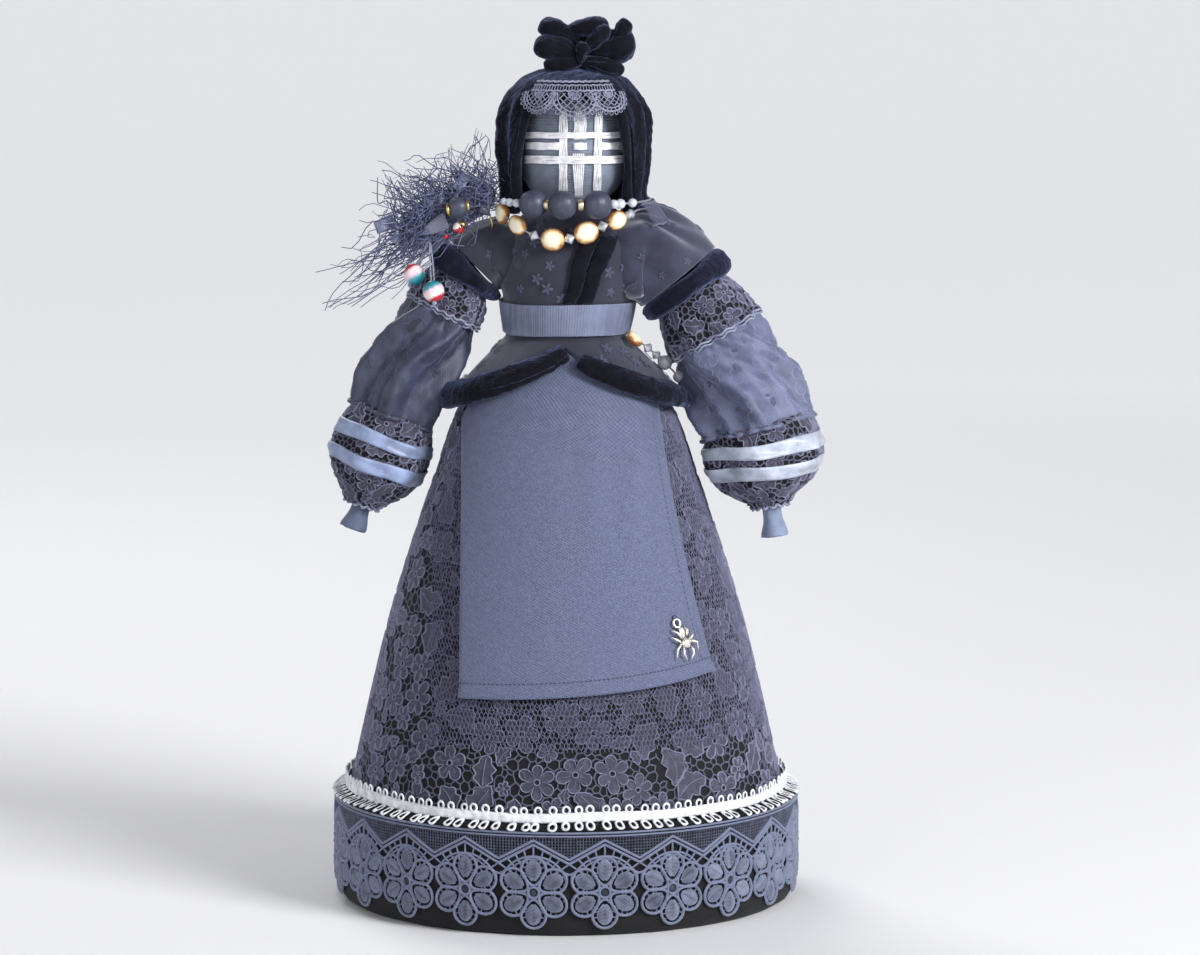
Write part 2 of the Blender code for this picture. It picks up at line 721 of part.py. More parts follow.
def build_frill(cloths):
    """The lace over the brow, in fans side by side."""
    left, right = math.radians(-43), math.radians(51)
    columns = 3 * FRILL_FANS
    grids = []
    for off in (GAP, GAP + CLOTH):
        grid = []
        for share in (0.0, 0.55, 1.0):
            row = []
            for k in range(columns + 1):
                angle = left + (right - left) * k / columns
                fan = abs(math.sin(math.pi * k / 3))
                low = FRILL_BOTTOM - 3.4 * MM * fan
                z = low + (FRILL_TOP - low) * share
                rest = max(z, HOOD_ARCH_HEIGHT)
                radius = along(HOOD_OUTLINE, rest) + off + LAYER_GAP
                row.append(round_point(radius, angle, z) + Vector((HEAD_OFFSET, 0, 0)))
            grid.append(row)
        grids.append(grid)
    slab("brow_lace", *grids, cloths["lace"])


def build_face(cloths):
    """The white threads wound over the face as a cross grid, as one piece, and one stitch."""
    upright = {"left": (-2.1, 0.7), "middle": (3.1, 6.9), "right": (9.7, 12.2)}
    upright = {key: (a * MM, b * MM) for key, (a, b) in upright.items()}
    level = {"top": (267.2, 269.3), "middle": (263.2, 265.8), "bottom": (258.4, 261.2)}
    level = {key: (a * MM, b * MM) for key, (a, b) in level.items()}
    low, high = 248.6 * MM, 277.4 * MM
    left_end, right_end = -10.5 * MM, 17.0 * MM
    columns = sorted({left_end, -6 * MM, right_end, *sum(upright.values(), ())})
    rows = sorted({low, 253.5 * MM, 273.3 * MM, high, *sum(level.values(), ())})

    def within(value, band):
        return band[0] - 1e-7 < value < band[1] + 1e-7

    def on_thread(x, z):
        if within(x, upright["left"]) or within(x, upright["right"]):
            return True
        if within(z, level["top"]) or within(z, level["bottom"]):
            return True
        if within(z, level["middle"]):
            return x < upright["left"][0] or x > upright["right"][1]
        return within(x, upright["middle"]) and not within(z, (level["bottom"][1], level["top"][0]))

    def on_stitch(x, z):
        return within(x, upright["middle"]) and within(z, level["middle"])

    def cells(name, inside):
        points, faces, spots, rim = [], [], {}, {}

        def spot(c, r, layer):
            key = (c, r, layer)
            if key not in spots:
                spots[key] = len(points)
                angle = math.asin((columns[c] - HEAD_OFFSET) / along(HEAD_OUTLINE, rows[r]))
                off = 1.2 * GAP + (0.8 * MM if layer else 0.0)
                points.append(head_point(angle, rows[r], off))
            return spots[key]

        for c in range(len(columns) - 1):
            for r in range(len(rows) - 1):
                x, z = (columns[c] + columns[c + 1]) / 2, (rows[r] + rows[r + 1]) / 2
                if not inside(x, z):
                    continue
                corners = [(c, r), (c + 1, r), (c + 1, r + 1), (c, r + 1)]
                faces.append([spot(*p, 1) for p in corners])
                faces.append([spot(*p, 0) for p in corners][::-1])
                for k in range(4):
                    edge = (corners[k], corners[(k + 1) % 4])
                    rim[frozenset(edge)] = None if frozenset(edge) in rim else edge
        for edge in rim.values():
            if edge:
                a, b = edge
                faces.append([spot(*b, 1), spot(*a, 1), spot(*a, 0), spot(*b, 0)])
        add_solid(name, points, faces, cloths["white"])

    cells("face_threads", on_thread)
    cells("face_stitch", on_stitch)


# The arms

LEFT_ARM = (
    (-24.8, 0.0, 229.0),
    (-35.0, -1.0, 219.4),
    (-44.5, -2.0, 202.5),
    (-54.0, -3.0, 184.5),
    (-62.0, -4.0, 165.0),
    (-67.0, -5.0, 150.0),
    (-71.5, -5.5, 138.0),
    (-74.0, -6.0, 130.5),
)
RIGHT_ARM = (
    (26.4, 0.0, 229.0),
    (34.0, -0.5, 223.0),
    (42.7, -1.0, 212.5),
    (50.4, -2.0, 200.0),
    (59.9, -3.0, 183.0),
    (66.9, -4.0, 167.0),
    (70.7, -5.0, 143.0),
    (73.2, -6.0, 128.0),
)
# For each sleeve piece, its ends along the arm and its radii, all in millimetres
LEFT_SLEEVE = {
    "cap_sleeve": ((0.0, 9.0), (10.0, 12.6)),
    "velvet_cuff": ((10.8, 12.2), (12.4, 14.4), (16.0, 14.4), (17.4, 12.4)),
    "lace_sleeve": ((18.0, 10.0), (23.0, 12.4), (29.0, 12.2)),
    "organza_sleeve": ((29.4, 12.4), (40.0, 14.2), (52.0, 15.2), (62.0, 15.6), (70.0, 14.4)),
    "lace_cuff": ((70.4, 13.8), (78.0, 15.8), (88.0, 15.8), (95.0, 12.0), (100.0, 7.4), (102.5, 5.0)),
}
RIGHT_SLEEVE = {
    "cap_sleeve": ((0.0, 9.0), (17.0, 16.0)),
    "velvet_cuff": ((17.8, 15.4), (19.4, 17.6), (23.2, 17.6), (24.8, 15.4)),
    "lace_sleeve": ((25.6, 12.6), (31.0, 15.0), (40.0, 16.2)),
    "organza_sleeve": ((40.4, 16.4), (52.0, 18.2), (62.0, 19.4), (76.0, 19.4)),
    "lace_cuff": ((76.4, 18.6), (82.0, 20.0), (90.0, 19.6), (97.0, 14.5), (101.5, 8.0), (104.0, 5.0)),
}
LEFT_RIBBONS = (78.5, 88.0)
RIGHT_RIBBONS = (83.0, 91.0)


def arm_path(knots):
    """The arm's middle line as (distance, point) pairs, and its length."""
    spots = [Vector(p) * MM for p in knots]
    lengths = [0.0]
    for a, b in zip(spots, spots[1:]):
        lengths.append(lengths[-1] + (b - a).length)
    return [[(s, p[k]) for s, p in zip(lengths, spots)] for k in range(3)], lengths[-1]


def arm_ring(path, station, radius, sides=SLEEVE_COLUMNS, crinkle=0.0):
    """A ring of points round the arm's middle line."""
    point = Vector([along(axis, station) for axis in path])
    ahead = Vector([along(axis, station + 1 * MM) for axis in path])
    behind = Vector([along(axis, station - 1 * MM) for axis in path])
    heading = (ahead - behind).normalized()
    if station < 0.5 * MM:
        heading = Vector((math.copysign(1.0, heading.x), 0.0, 0.0))
    side = heading.cross(Vector((0, 1, 0))).normalized()
    front = heading.cross(side)
    ring = []
    for k, a in enumerate(turn(sides)):
        reach = radius * (1 + crinkle * (k % 2))
        ring.append(point + (side * math.cos(a) + front * math.sin(a)) * reach)
    return ring


def build_arm(side, knots, sleeve, ribbons, cloths):
    path, length = arm_path(knots)
    stations = steps(0.0, length, 8)
    rings = [arm_ring(path, s, ARM_RADIUS, 6) for s in stations[:-1]]
    rings.append(arm_ring(path, stations[-1], HAND_RADIUS, 6))
    loft(f"arm_roll_{side}", rings, cloths["cotton"])

    looks = {"cap_sleeve": "bodice", "velvet_cuff": "velvet", "organza_sleeve": "organza"}
    bore = ARM_RADIUS + 3 * GAP
    for piece, knots_of_piece in sleeve.items():
        outline = [(s * MM, r * MM) for s, r in knots_of_piece]
        crinkle = -0.05 if piece in ("organza_sleeve", "lace_sleeve") else 0.0
        outer = [arm_ring(path, s, r, crinkle=crinkle) for s, r in outline]
        inner = [arm_ring(path, s, bore) for s in (outline[0][0], outline[-1][0])]
        slab(f"{piece}_{side}", inner, outer, cloths[looks.get(piece, "lace")], closed=True)

    outline = [(s * MM, r * MM) for s, r in sleeve["lace_cuff"]]
    for place, station in zip(("upper", "lower"), ribbons):
        ends = (station * MM - RIBBON_WIDTH / 2, station * MM + RIBBON_WIDTH / 2)
        grids = []
        for off in (1.5 * GAP, 1.5 * GAP + RIBBON_THICKNESS):
            grids.append([arm_ring(path, s, along(outline, s) + off) for s in ends])
        slab(f"cuff_ribbon_{place}_{side}", *grids, cloths["satin"], closed=True)


# Beads, strings and charms

UPPER_BEADS = (-31.0, -7.4, 18.6)  # angles of the three black beads, in degrees
SHELL_BEADS = ((-64, 7.0, 3.4), (-47, 7.6, 3.1), (-17, 8.6, 3.6), (11, 8.8, 3.6), (37, 7.6, 3.0))
CRYSTALS = ((-33, 1.8), (-3, 1.9), (24.5, 1.9), (50, 1.7))
PEARLS = ((-57, 1.4), (-48, 1.4), (5.6, 1.6), (35, 1.6), (45, 1.7))
# Where the lower string hangs: angle, height and distance from the neck's middle
LOWER_DROP = ((-90, 0.0), (-64, -0.8), (-47, -5.4), (-17, -10.4), (11, -7.0), (37, -3.2), (56, 0.0))
LOWER_REACH = ((-90, 0.2), (-64, 0.9), (-47, -0.6), (-17, -3.2), (11, -3.0), (37, -1.6), (56, 0.0))


def upper_string(degrees):
    return round_point(NECKLACE_RADIUS, math.radians(degrees), UPPER_STRING_HEIGHT) + Vector((HEAD_OFFSET, 0, 0))


def lower_string(degrees):
    radius = NECKLACE_RADIUS + along(LOWER_REACH, degrees) * MM
    height = LOWER_STRING_HEIGHT + along(LOWER_DROP, degrees) * MM
    return round_point(radius, math.radians(degrees), height) + Vector((HEAD_OFFSET, 0, 0))


def necklace(name, place, spans, bulges, material):
    """A closed string that runs straight through each bead and swells where a small bead sits."""
    stops = {}
    for middle, half in spans:
        stops[middle - half] = STRING_RADIUS
        stops[middle + half] = STRING_RADIUS
    for middle, radius in bulges:
        stops[middle - 3.0] = STRING_RADIUS
        stops[middle - 1.5] = radius * MM
        stops[middle + 1.5] = radius * MM
        stops[middle + 3.0] = STRING_RADIUS
    for degrees in range(85, 280, 24):
        stops[float(degrees) if degrees <= 180 else degrees - 360.0] = STRING_RADIUS
    order = sorted(stops)
    path = [place(d) for d in order]
    tube(name, path, [stops[d] for d in order], 4, material, closed=True)


def half_span(length, radius):
    """Half the angle, in degrees, that a bead of this length takes on the string."""
    return math.degrees((length / 2 + 0.2 * MM) / radius)


def build_necklaces(cloths):
    half = half_span(2 * BLACK_BEAD_RADIUS, NECKLACE_RADIUS)
    spans = [(d, half) for d in UPPER_BEADS]
    necklace("upper_necklace", upper_string, spans, PEARLS, cloths["string"])
    for k, degrees in enumerate(UPPER_BEADS):
        first, last = upper_string(degrees - half), upper_string(degrees + half)
        length = 2 * BLACK_BEAD_RADIUS
        bore = STRING_RADIUS + BORE_GAP
        middle = (first + last) / 2
        bead(f"black_bead_{k + 1}", middle, last - first, BLACK_BEAD_RADIUS, length, bore, cloths["wood"])

    spans = []
    for degrees, length, _ in SHELL_BEADS:
        spans.append((degrees, half_span(length * MM, NECKLACE_RADIUS - 2 * MM)))
    necklace("lower_necklace", lower_string, spans, CRYSTALS, cloths["string"])
    for k, (degrees, length, radius) in enumerate(SHELL_BEADS):
        half = half_span(length * MM, NECKLACE_RADIUS - 2 * MM)
        first, last = lower_string(degrees - half), lower_string(degrees + half)
        face = round_point(1.0, math.radians(degrees), 0.0)
        middle = (first + last) / 2
        bore = STRING_RADIUS + BORE_GAP
        bead(f"shell_bead_{k + 1}", middle, last - first, radius * MM, length * MM, bore,
             cloths["shell"], flat=0.62, face=face, sides=8)


def build_hip_chain(cloths):
    """The short string on the right hip: a shell bead, then crystals and two pearls."""
    places = ((60, 0.6, 0.4), (63, 0.0, 0.4), (74, -4.0, 0.4), (78, -6.0, 1.9), (80, -7.4, 0.9))
    places += ((82, -8.6, 1.9), (83.5, -10.0, 0.9), (85, -11.4, 2.6), (87, -14.4, 0.8))
    places += ((88.5, -16.4, 2.0), (89, -17.8, 0.9))
    path, radii = [], []
    for degrees, rise, radius in places:
        angle, z = math.radians(degrees), WAIST_HEIGHT + rise * MM
        path.append(skirt_point(angle, z, DRESS_OFF) + dress_normal(angle, z) * 3.2 * MM)
        radii.append(radius * MM)
    tube("hip_chain", path, radii, 5, cloths["string"])
    first, last = path[1], path[2]
    face = dress_normal(math.radians(68), WAIST_HEIGHT - 2 * MM)
    length = (last - first).length - 0.6 * MM
    bead("hip_shell", (first + last) / 2, last - first, 2.9 * MM, length, STRING_RADIUS + BORE_GAP,
         cloths["shell"], flat=0.62, face=face, sides=8)


TUFT_MIDDLE = Vector((-40.5, -7.0, 240.0)) * MM
TUFT_SIZE = (19.0 * MM, 5.0 * MM, 7.0 * MM)
TUFT_TILT = math.radians(29)
# The longest threads' ends, as places across and up from the middle of the tuft, in millimetres
TUFT_ENDS = (
    (17, 18), (9, 29), (0, 25), (-11, 20), (-27, 16), (-36, 2), (-47, -31), (-27, -20), (-7, -13), (16, -3),
)


def tuft_surface(along_axis, across_axis, lift):
    """A place in front of the tuft's dense middle, from shares of its half sizes."""
    depth = math.sqrt(max(0.0, 1 - along_axis**2 - across_axis**2))
    local = Vector((along_axis * TUFT_SIZE[0], -depth * TUFT_SIZE[1], across_axis * TUFT_SIZE[2]))
    normal = Vector([local[k] / TUFT_SIZE[k] ** 2 for k in range(3)]).normalized()
    return TUFT_MIDDLE + tilted(local + normal * lift), tilted(normal)


def tilted(v):
    c, s = math.cos(TUFT_TILT), math.sin(TUFT_TILT)
    return Vector((c * v.x - s * v.z, v.y, s * v.x + c * v.z))


def build_tuft(cloths):
    """The frayed thread tuft: a dense middle whose longest threads are drawn out to points."""
    c, s = math.cos(TUFT_TILT), math.sin(TUFT_TILT)
    ends = [Vector((c * x + s * z, 0.0, c * z - s * x)) * MM for x, z in TUFT_ENDS]
    headings = sorted((math.atan2(end.z, end.x), end.length) for end in ends)
    columns = []
    for k, (heading, reach) in enumerate(headings):
        after = headings[(k + 1) % len(headings)][0]
        between = heading + math.remainder(after - heading, 2 * math.pi) / 2
        columns += [(heading, reach), (between, None)]
    rows = 4
    rings = []
    for r in range(rows + 1):
        tilt = math.pi * (0.09 + 0.82 * r / rows)
        ring = []
        for heading, reach in columns:
            x, z = math.cos(heading), math.sin(heading)
            rim = math.hypot(x / TUFT_SIZE[0], z / TUFT_SIZE[2])
            out = math.sin(tilt) / rim
            if reach and r == rows // 2:
                out = reach
            ring.append(Vector((x * out, -TUFT_SIZE[1] * math.cos(tilt), z * out)))
        rings.append([TUFT_MIDDLE + tilted(p) for p in ring])
    loft("thread_tuft", rings, cloths["thread"])


def build_shoulder_charms(cloths):
    bore = STRING_RADIUS + BORE_GAP
    spot, out = tuft_surface(0.22, 0.1, CHARM_BEAD_RADIUS + GAP)
    bead("shoulder_bead", spot, Vector((1, 0, 0.2)), CHARM_BEAD_RADIUS, 2 * CHARM_BEAD_RADIUS, bore,
         cloths["wood"], sides=8)

    tip, out = tuft_surface(0.55, -0.3, 2.2 * MM)
    heading = Vector((0.8, 0.0, -0.6))
    stations = ((0.0, 1.7), (1.6, 1.6), (4.6, 0.4))
    tube("cone_bead", [tip + heading * s * MM for s, _ in stations], [r * MM for _, r in stations], 7,
         cloths["wood"])

    spot, out = tuft_surface(0.05, -0.62, 2.1 * MM + GAP)
    bead("red_bead", spot, Vector((0.7, 0, 0.7)), 2.1 * MM, 3.6 * MM, bore, cloths["red"], sides=7)

    rings = []
    for along_axis, half in ((-0.1, 2.5), (-0.35, 2.2), (-0.6, 0.6)):
        spot, out = tuft_surface(along_axis, -0.1, 1.6 * MM)
        across = tilted(Vector((0.2, 0.0, 1.0))).normalized()
        ring = []
        for a in turn(6):
            ring.append(spot + across * math.cos(a) * half * MM + out * math.sin(a) * 1.1 * MM)
        rings.append(ring)
    loft("suede_leaf", rings, cloths["suede"])

    knot, out = tuft_surface(-0.5, -0.5, STRING_RADIUS + GAP)
    hang = {"painted_bead_1": Vector((-52.4, -10.5, 219.4)) * MM}
    hang["painted_bead_2"] = Vector((-45.6, -17.6, 214.2)) * MM
    route = []
    for name, centre in hang.items():
        up = (knot - centre).normalized()
        length = 2 * CHARM_BEAD_RADIUS
        bead(name, centre, up, CHARM_BEAD_RADIUS, length, bore, cloths["painted"], sides=8)
        ends = [centre - up * (length / 2 + 1 * MM), centre + up * (length / 2 + 1 * MM)]
        route += ends if name == "painted_bead_1" else [knot] + ends[::-1]
    tube("charm_cord", route, [STRING_RADIUS] * len(route), 5, cloths["string"])


def build_spider(cloths):
    """The cast charm on the apron: a flat body with eight legs and a ring over it."""
    angle, z = math.radians(37), APRON_RIGHT_HEM_HEIGHT + 12.6 * MM
    outward = dress_normal(angle, z)
    up = (skirt_point(angle, z + 1 * MM, 0) - skirt_point(angle, z - 1 * MM, 0)).normalized()
    across = up.cross(outward)
    if across.x < 0:
        across = -across
    foot = skirt_point(angle, z, APRON_OFF + APRON_CLOTH) + outward * 1.2 * GAP
    legs = (
        ((7.2, -3.4), (5.0, -1.6)), ((2.4, -6.4), (2.9, -3.2)), ((-0.6, -6.4), (-1.2, -3.6)),
        ((-4.8, -5.6), (-3.4, -2.0)), ((-5.8, 2.6), (-4.2, 1.6)), ((-5.0, 5.0), (-3.4, 3.4)),
        ((0.6, 6.0), (1.6, 3.8)), ((2.8, 4.4), (3.6, 2.6)),
    )
    outline = []
    for tip, knee in legs:
        heading = math.atan2(knee[1], knee[0])
        turned = (-math.sin(heading) * 0.35, math.cos(heading) * 0.35)
        outline.append((1.6 * math.cos(heading + 0.3), 1.9 * math.sin(heading + 0.3)))
        outline.append((knee[0] + turned[0], knee[1] + turned[1]))
        outline.append(tip)
        outline.append((knee[0] - turned[0], knee[1] - turned[1]))
    points = []
    for lift in (0.0, 1.1 * MM):
        points += [foot + (across * a + up * b) * MM + outward * lift for a, b in outline]
    count = len(outline)
    faces = [list(range(count)), list(range(2 * count - 1, count - 1, -1))]
    faces += [(k, (k + 1) % count, count + (k + 1) % count, count + k) for k in range(count)]
    body = add_solid("spider_charm", points, faces, cloths["brass"])

    ring_middle = foot + (across * -1.0 + up * 6.4) * MM + outward * 0.75 * MM
    rings = []
    for a in turn(8):
        spoke = across * math.cos(a) + up * math.sin(a)
        rings.append([ring_middle + spoke * (1.5 + 0.4 * math.cos(b)) * MM
                      + outward * 0.4 * MM * math.sin(b) for b in turn(4)])
    ring = loft("charm_ring", rings, cloths["brass"], closed=True)
    stem_rings = []
    for b, half in ((1.2, 0.9), (5.2, 0.6)):
        middle = foot + (across * -0.9 + up * b) * MM + outward * 0.7 * MM
        stem_rings.append([middle + (across * math.cos(a) * half + outward * math.sin(a) * 0.5) * MM
                           for a in turn(6)])
    stem = loft("charm_stem", stem_rings, cloths["brass"])
    for extra in (stem, ring):
        extra.hide_render = True
        extra.display_type = "WIRE"
        join = body.modifiers.new(extra.name, "BOOLEAN")
        join.operation = "UNION"
        join.solver = "EXACT"
        join.object = extra


def build_collar(cloths):
    """The bit of black net over the right shoulder, beside the necklaces."""
    angles = steps(math.radians(58), math.radians(150), 6)
    grids = []
    for off in (0.0, NET_CLOTH):
        low = [round_point(33.0 * MM + off, a, 237.4 * MM) for a in angles]
        high = [round_point(NECKLACE_RADIUS + 1.0 * MM + off, a, 244.0 * MM) for a in angles]
        shift = Vector((HEAD_OFFSET, 0, 0))
        grids.append([[p + shift for p in low], [p + shift for p in high]])
    slab("net_collar", *grids, cloths["net"])


def main():
    clear_scene()
    cloths = {
        "card": make_material("grey_card", (0.12, 0.11, 0.1), 0.9),
        "cotton": make_material("black_cotton", (0.02, 0.02, 0.026), 0.9),
        "lining": make_material("black_lining", (0.012, 0.012, 0.018), 0.85),
        "lace": make_material("mauve_black_lace", (0.045, 0.042, 0.055), 0.85),
        "net": make_material("black_net", (0.02, 0.021, 0.028), 0.8),
        "apron": make_material("slate_twill", (0.085, 0.1, 0.15), 0.8),
        "bodice": make_material("flowered_cotton", (0.018, 0.02, 0.03), 0.85),
        "grosgrain": make_material("slate_grosgrain", (0.16, 0.19, 0.27), 0.5),
        "velvet": make_material("black_velvet", (0.008, 0.009, 0.018), 0.95),
        "organza": make_material("black_organza", (0.04, 0.044, 0.06), 0.6),
        "satin": make_material("blue_satin", (0.24, 0.31, 0.45), 0.4),
        "face": make_material("dark_ribbed_cloth", (0.09, 0.1, 0.13), 0.8),
        "white": make_material("white_thread", (0.75, 0.76, 0.8), 0.8),
        "wood": make_material("black_wood", (0.03, 0.035, 0.05), 0.5),
        "shell": make_material("ivory_shell", (0.8, 0.68, 0.45), 0.25),
        "string": make_material("clear_crystal", (0.55, 0.56, 0.58), 0.2),
        "thread": make_material("navy_thread", (0.025, 0.03, 0.06), 0.8),
        "suede": make_material("grey_suede", (0.12, 0.12, 0.15), 0.95),
        "red": make_material("red_glass", (0.5, 0.03, 0.02), 0.2),
        "painted": make_material("painted_china", (0.7, 0.45, 0.5), 0.2),
        "brass": make_material("pale_brass", (0.75, 0.68, 0.5), 0.3, 1.0),
    }
    build_skirt(cloths)
    build_panels(cloths)
    build_hem(cloths)
    build_torso(cloths)
    build_head(cloths)
    build_arm("left", LEFT_ARM, LEFT_SLEEVE, LEFT_RIBBONS, cloths)
    build_arm("right", RIGHT_ARM, RIGHT_SLEEVE, RIGHT_RIBBONS, cloths)
    build_necklaces(cloths)
    build_hip_chain(cloths)
    build_tuft(cloths)
    build_shoulder_charms(cloths)
    build_spider(cloths)
    build_collar(cloths)


main()
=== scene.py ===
"""The looks of the black cloth doll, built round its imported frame.

Lengths in this file are millimetres until a mesh is made. +Z is up and the doll faces -Y.
An angle round the doll is 0 in front and grows towards +X.
"""

import json
import math

import bmesh
import bpy
import numpy as np
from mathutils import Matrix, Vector, noise
from mathutils.geometry import delaunay_2d_cdt

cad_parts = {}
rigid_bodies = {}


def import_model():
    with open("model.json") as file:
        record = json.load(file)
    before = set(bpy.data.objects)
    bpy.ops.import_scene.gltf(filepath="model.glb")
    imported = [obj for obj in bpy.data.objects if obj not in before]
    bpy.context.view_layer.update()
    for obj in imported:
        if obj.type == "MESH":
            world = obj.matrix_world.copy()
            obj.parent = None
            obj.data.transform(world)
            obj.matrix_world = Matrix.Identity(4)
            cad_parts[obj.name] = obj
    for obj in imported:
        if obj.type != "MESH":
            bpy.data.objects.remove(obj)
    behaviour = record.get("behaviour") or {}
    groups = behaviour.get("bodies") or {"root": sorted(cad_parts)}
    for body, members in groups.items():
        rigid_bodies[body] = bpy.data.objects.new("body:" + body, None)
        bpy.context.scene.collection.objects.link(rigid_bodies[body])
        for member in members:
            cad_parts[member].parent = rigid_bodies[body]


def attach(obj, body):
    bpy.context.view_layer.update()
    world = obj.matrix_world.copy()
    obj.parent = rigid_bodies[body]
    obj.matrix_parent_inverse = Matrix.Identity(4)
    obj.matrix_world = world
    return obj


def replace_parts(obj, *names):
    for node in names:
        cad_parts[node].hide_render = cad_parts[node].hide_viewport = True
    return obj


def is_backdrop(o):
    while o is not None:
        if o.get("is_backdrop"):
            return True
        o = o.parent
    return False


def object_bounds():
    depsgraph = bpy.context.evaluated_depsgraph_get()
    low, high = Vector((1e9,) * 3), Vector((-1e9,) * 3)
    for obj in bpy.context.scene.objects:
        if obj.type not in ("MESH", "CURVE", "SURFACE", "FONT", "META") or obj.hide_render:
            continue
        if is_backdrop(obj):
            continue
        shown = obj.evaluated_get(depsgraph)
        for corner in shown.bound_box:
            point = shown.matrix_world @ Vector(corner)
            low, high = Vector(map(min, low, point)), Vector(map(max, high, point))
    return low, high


MM = 0.001
TURN = 2 * math.pi
SEED = 7

# The camera stands in front of the doll and a little above it
CAMERA_TARGET = (11.9, 0.0, 147.0)
CAMERA_DISTANCE = 2000.0
CAMERA_ELEVATION = math.radians(7.5)
CAMERA_LENS = 171.4
CAMERA_SENSOR = 36.0

# Skirt: height and radius of the stuffed core, and how far each cloth lies off it
SKIRT_OUTLINE = ((38.2, 75.0), (100.0, 60.3), (150.0, 44.2), (177.0, 33.5), (197.0, 15.2))
HEM_TOP = 38.2
WAIST = 197.0
SKIRT_TOP = WAIST
HIP = 177.0
GATHERS = 14
GATHER_DEPTH = 1.6
LINING_OFF = 0.45
LACE_OFF = 0.75
NET_OFF = 2.1
APRON_OFF = 3.7
PEPLUM_OFF = 5.1
LACE_CELL = 3.2
NET_HEM = 62.0
NET_LEFT_EDGE = -46.0
NET_RIGHT = math.radians(77)

# Padded hem, its lace and its braid
HEM_RADIUS = 80.6
HEM_FOOT_RADIUS = 77.5
HEM_ROUNDING = 6.0
HEM_LACE_OFF = 0.35
FLOWERS = 21
FLOWER_START = 0.56
FLOWER_HEIGHT = 15.6
PETAL_REACH = 7.3
BRAID_HEIGHT = 40.5
BRAID_WIDTH = 3.3
BRAID_INSIDE = 76.6
PICOT_PITCH = 4.5
PICOT_RADIUS = 1.15
PICOT_THREAD = 0.42

# Apron, cut nearly square and sewn to the waist
APRON_LEFT = -36.0
APRON_RIGHT_TOP = 30.0
APRON_RIGHT_HEM = 51.0
APRON_HEM_LEFT = 79.0
APRON_HEM_RIGHT = 86.0
FOLD_AT = 23.0
STITCHES = 62
STITCH_LENGTH = 0.62
HEM_STITCHES_AT = 0.042
SIDE_STITCHES_AT = 0.955


def tone(red, green, blue):
    """A colour as seen, 0 to 255, as the linear values that a shader takes."""
    found = []
    for part in (red, green, blue):
        share = part / 255
        found.append(share / 12.92 if share <= 0.04045 else ((share + 0.055) / 1.055) ** 2.4)
    return tuple(found)


def smooth(value):
    t = np.clip(value, 0.0, 1.0)
    return t * t * (3 - 2 * t)


def turns(count, start=0.0):
    """Evenly spaced angles once round."""
    return np.linspace(start, start + TURN, count, endpoint=False)


def wrapped(angle):
    return (angle + np.pi) % TURN - np.pi


def bell(value, width):
    return np.exp(-((value / width) ** 2))


def flat_map(across, up):
    """The flat places of a grid of points, from arrays that broadcast."""
    return np.stack(np.broadcast_arrays(across, up), -1)


def curve(knots, at):
    """Values on a smooth curve through (place, value) knots, for an array of places."""
    places = np.array([k[0] for k in knots], float)
    values = np.array([k[1] for k in knots], float)
    slopes = np.empty(len(values))
    slopes[1:-1] = (values[2:] - values[:-2]) / (places[2:] - places[:-2])
    slopes[0] = (values[1] - values[0]) / (places[1] - places[0])
    slopes[-1] = (values[-1] - values[-2]) / (places[-1] - places[-2])
    at = np.clip(np.asarray(at, float), places[0], places[-1])
    k = np.clip(np.searchsorted(places, at, side="right") - 1, 0, len(places) - 2)
    width = places[k + 1] - places[k]
    t = (at - places[k]) / width
    start = (2 * t**3 - 3 * t**2 + 1) * values[k] + (t**3 - 2 * t**2 + t) * width * slopes[k]
    end = (3 * t**2 - 2 * t**3) * values[k + 1] + (t**3 - t**2) * width * slopes[k + 1]
    return start + end


# Materials


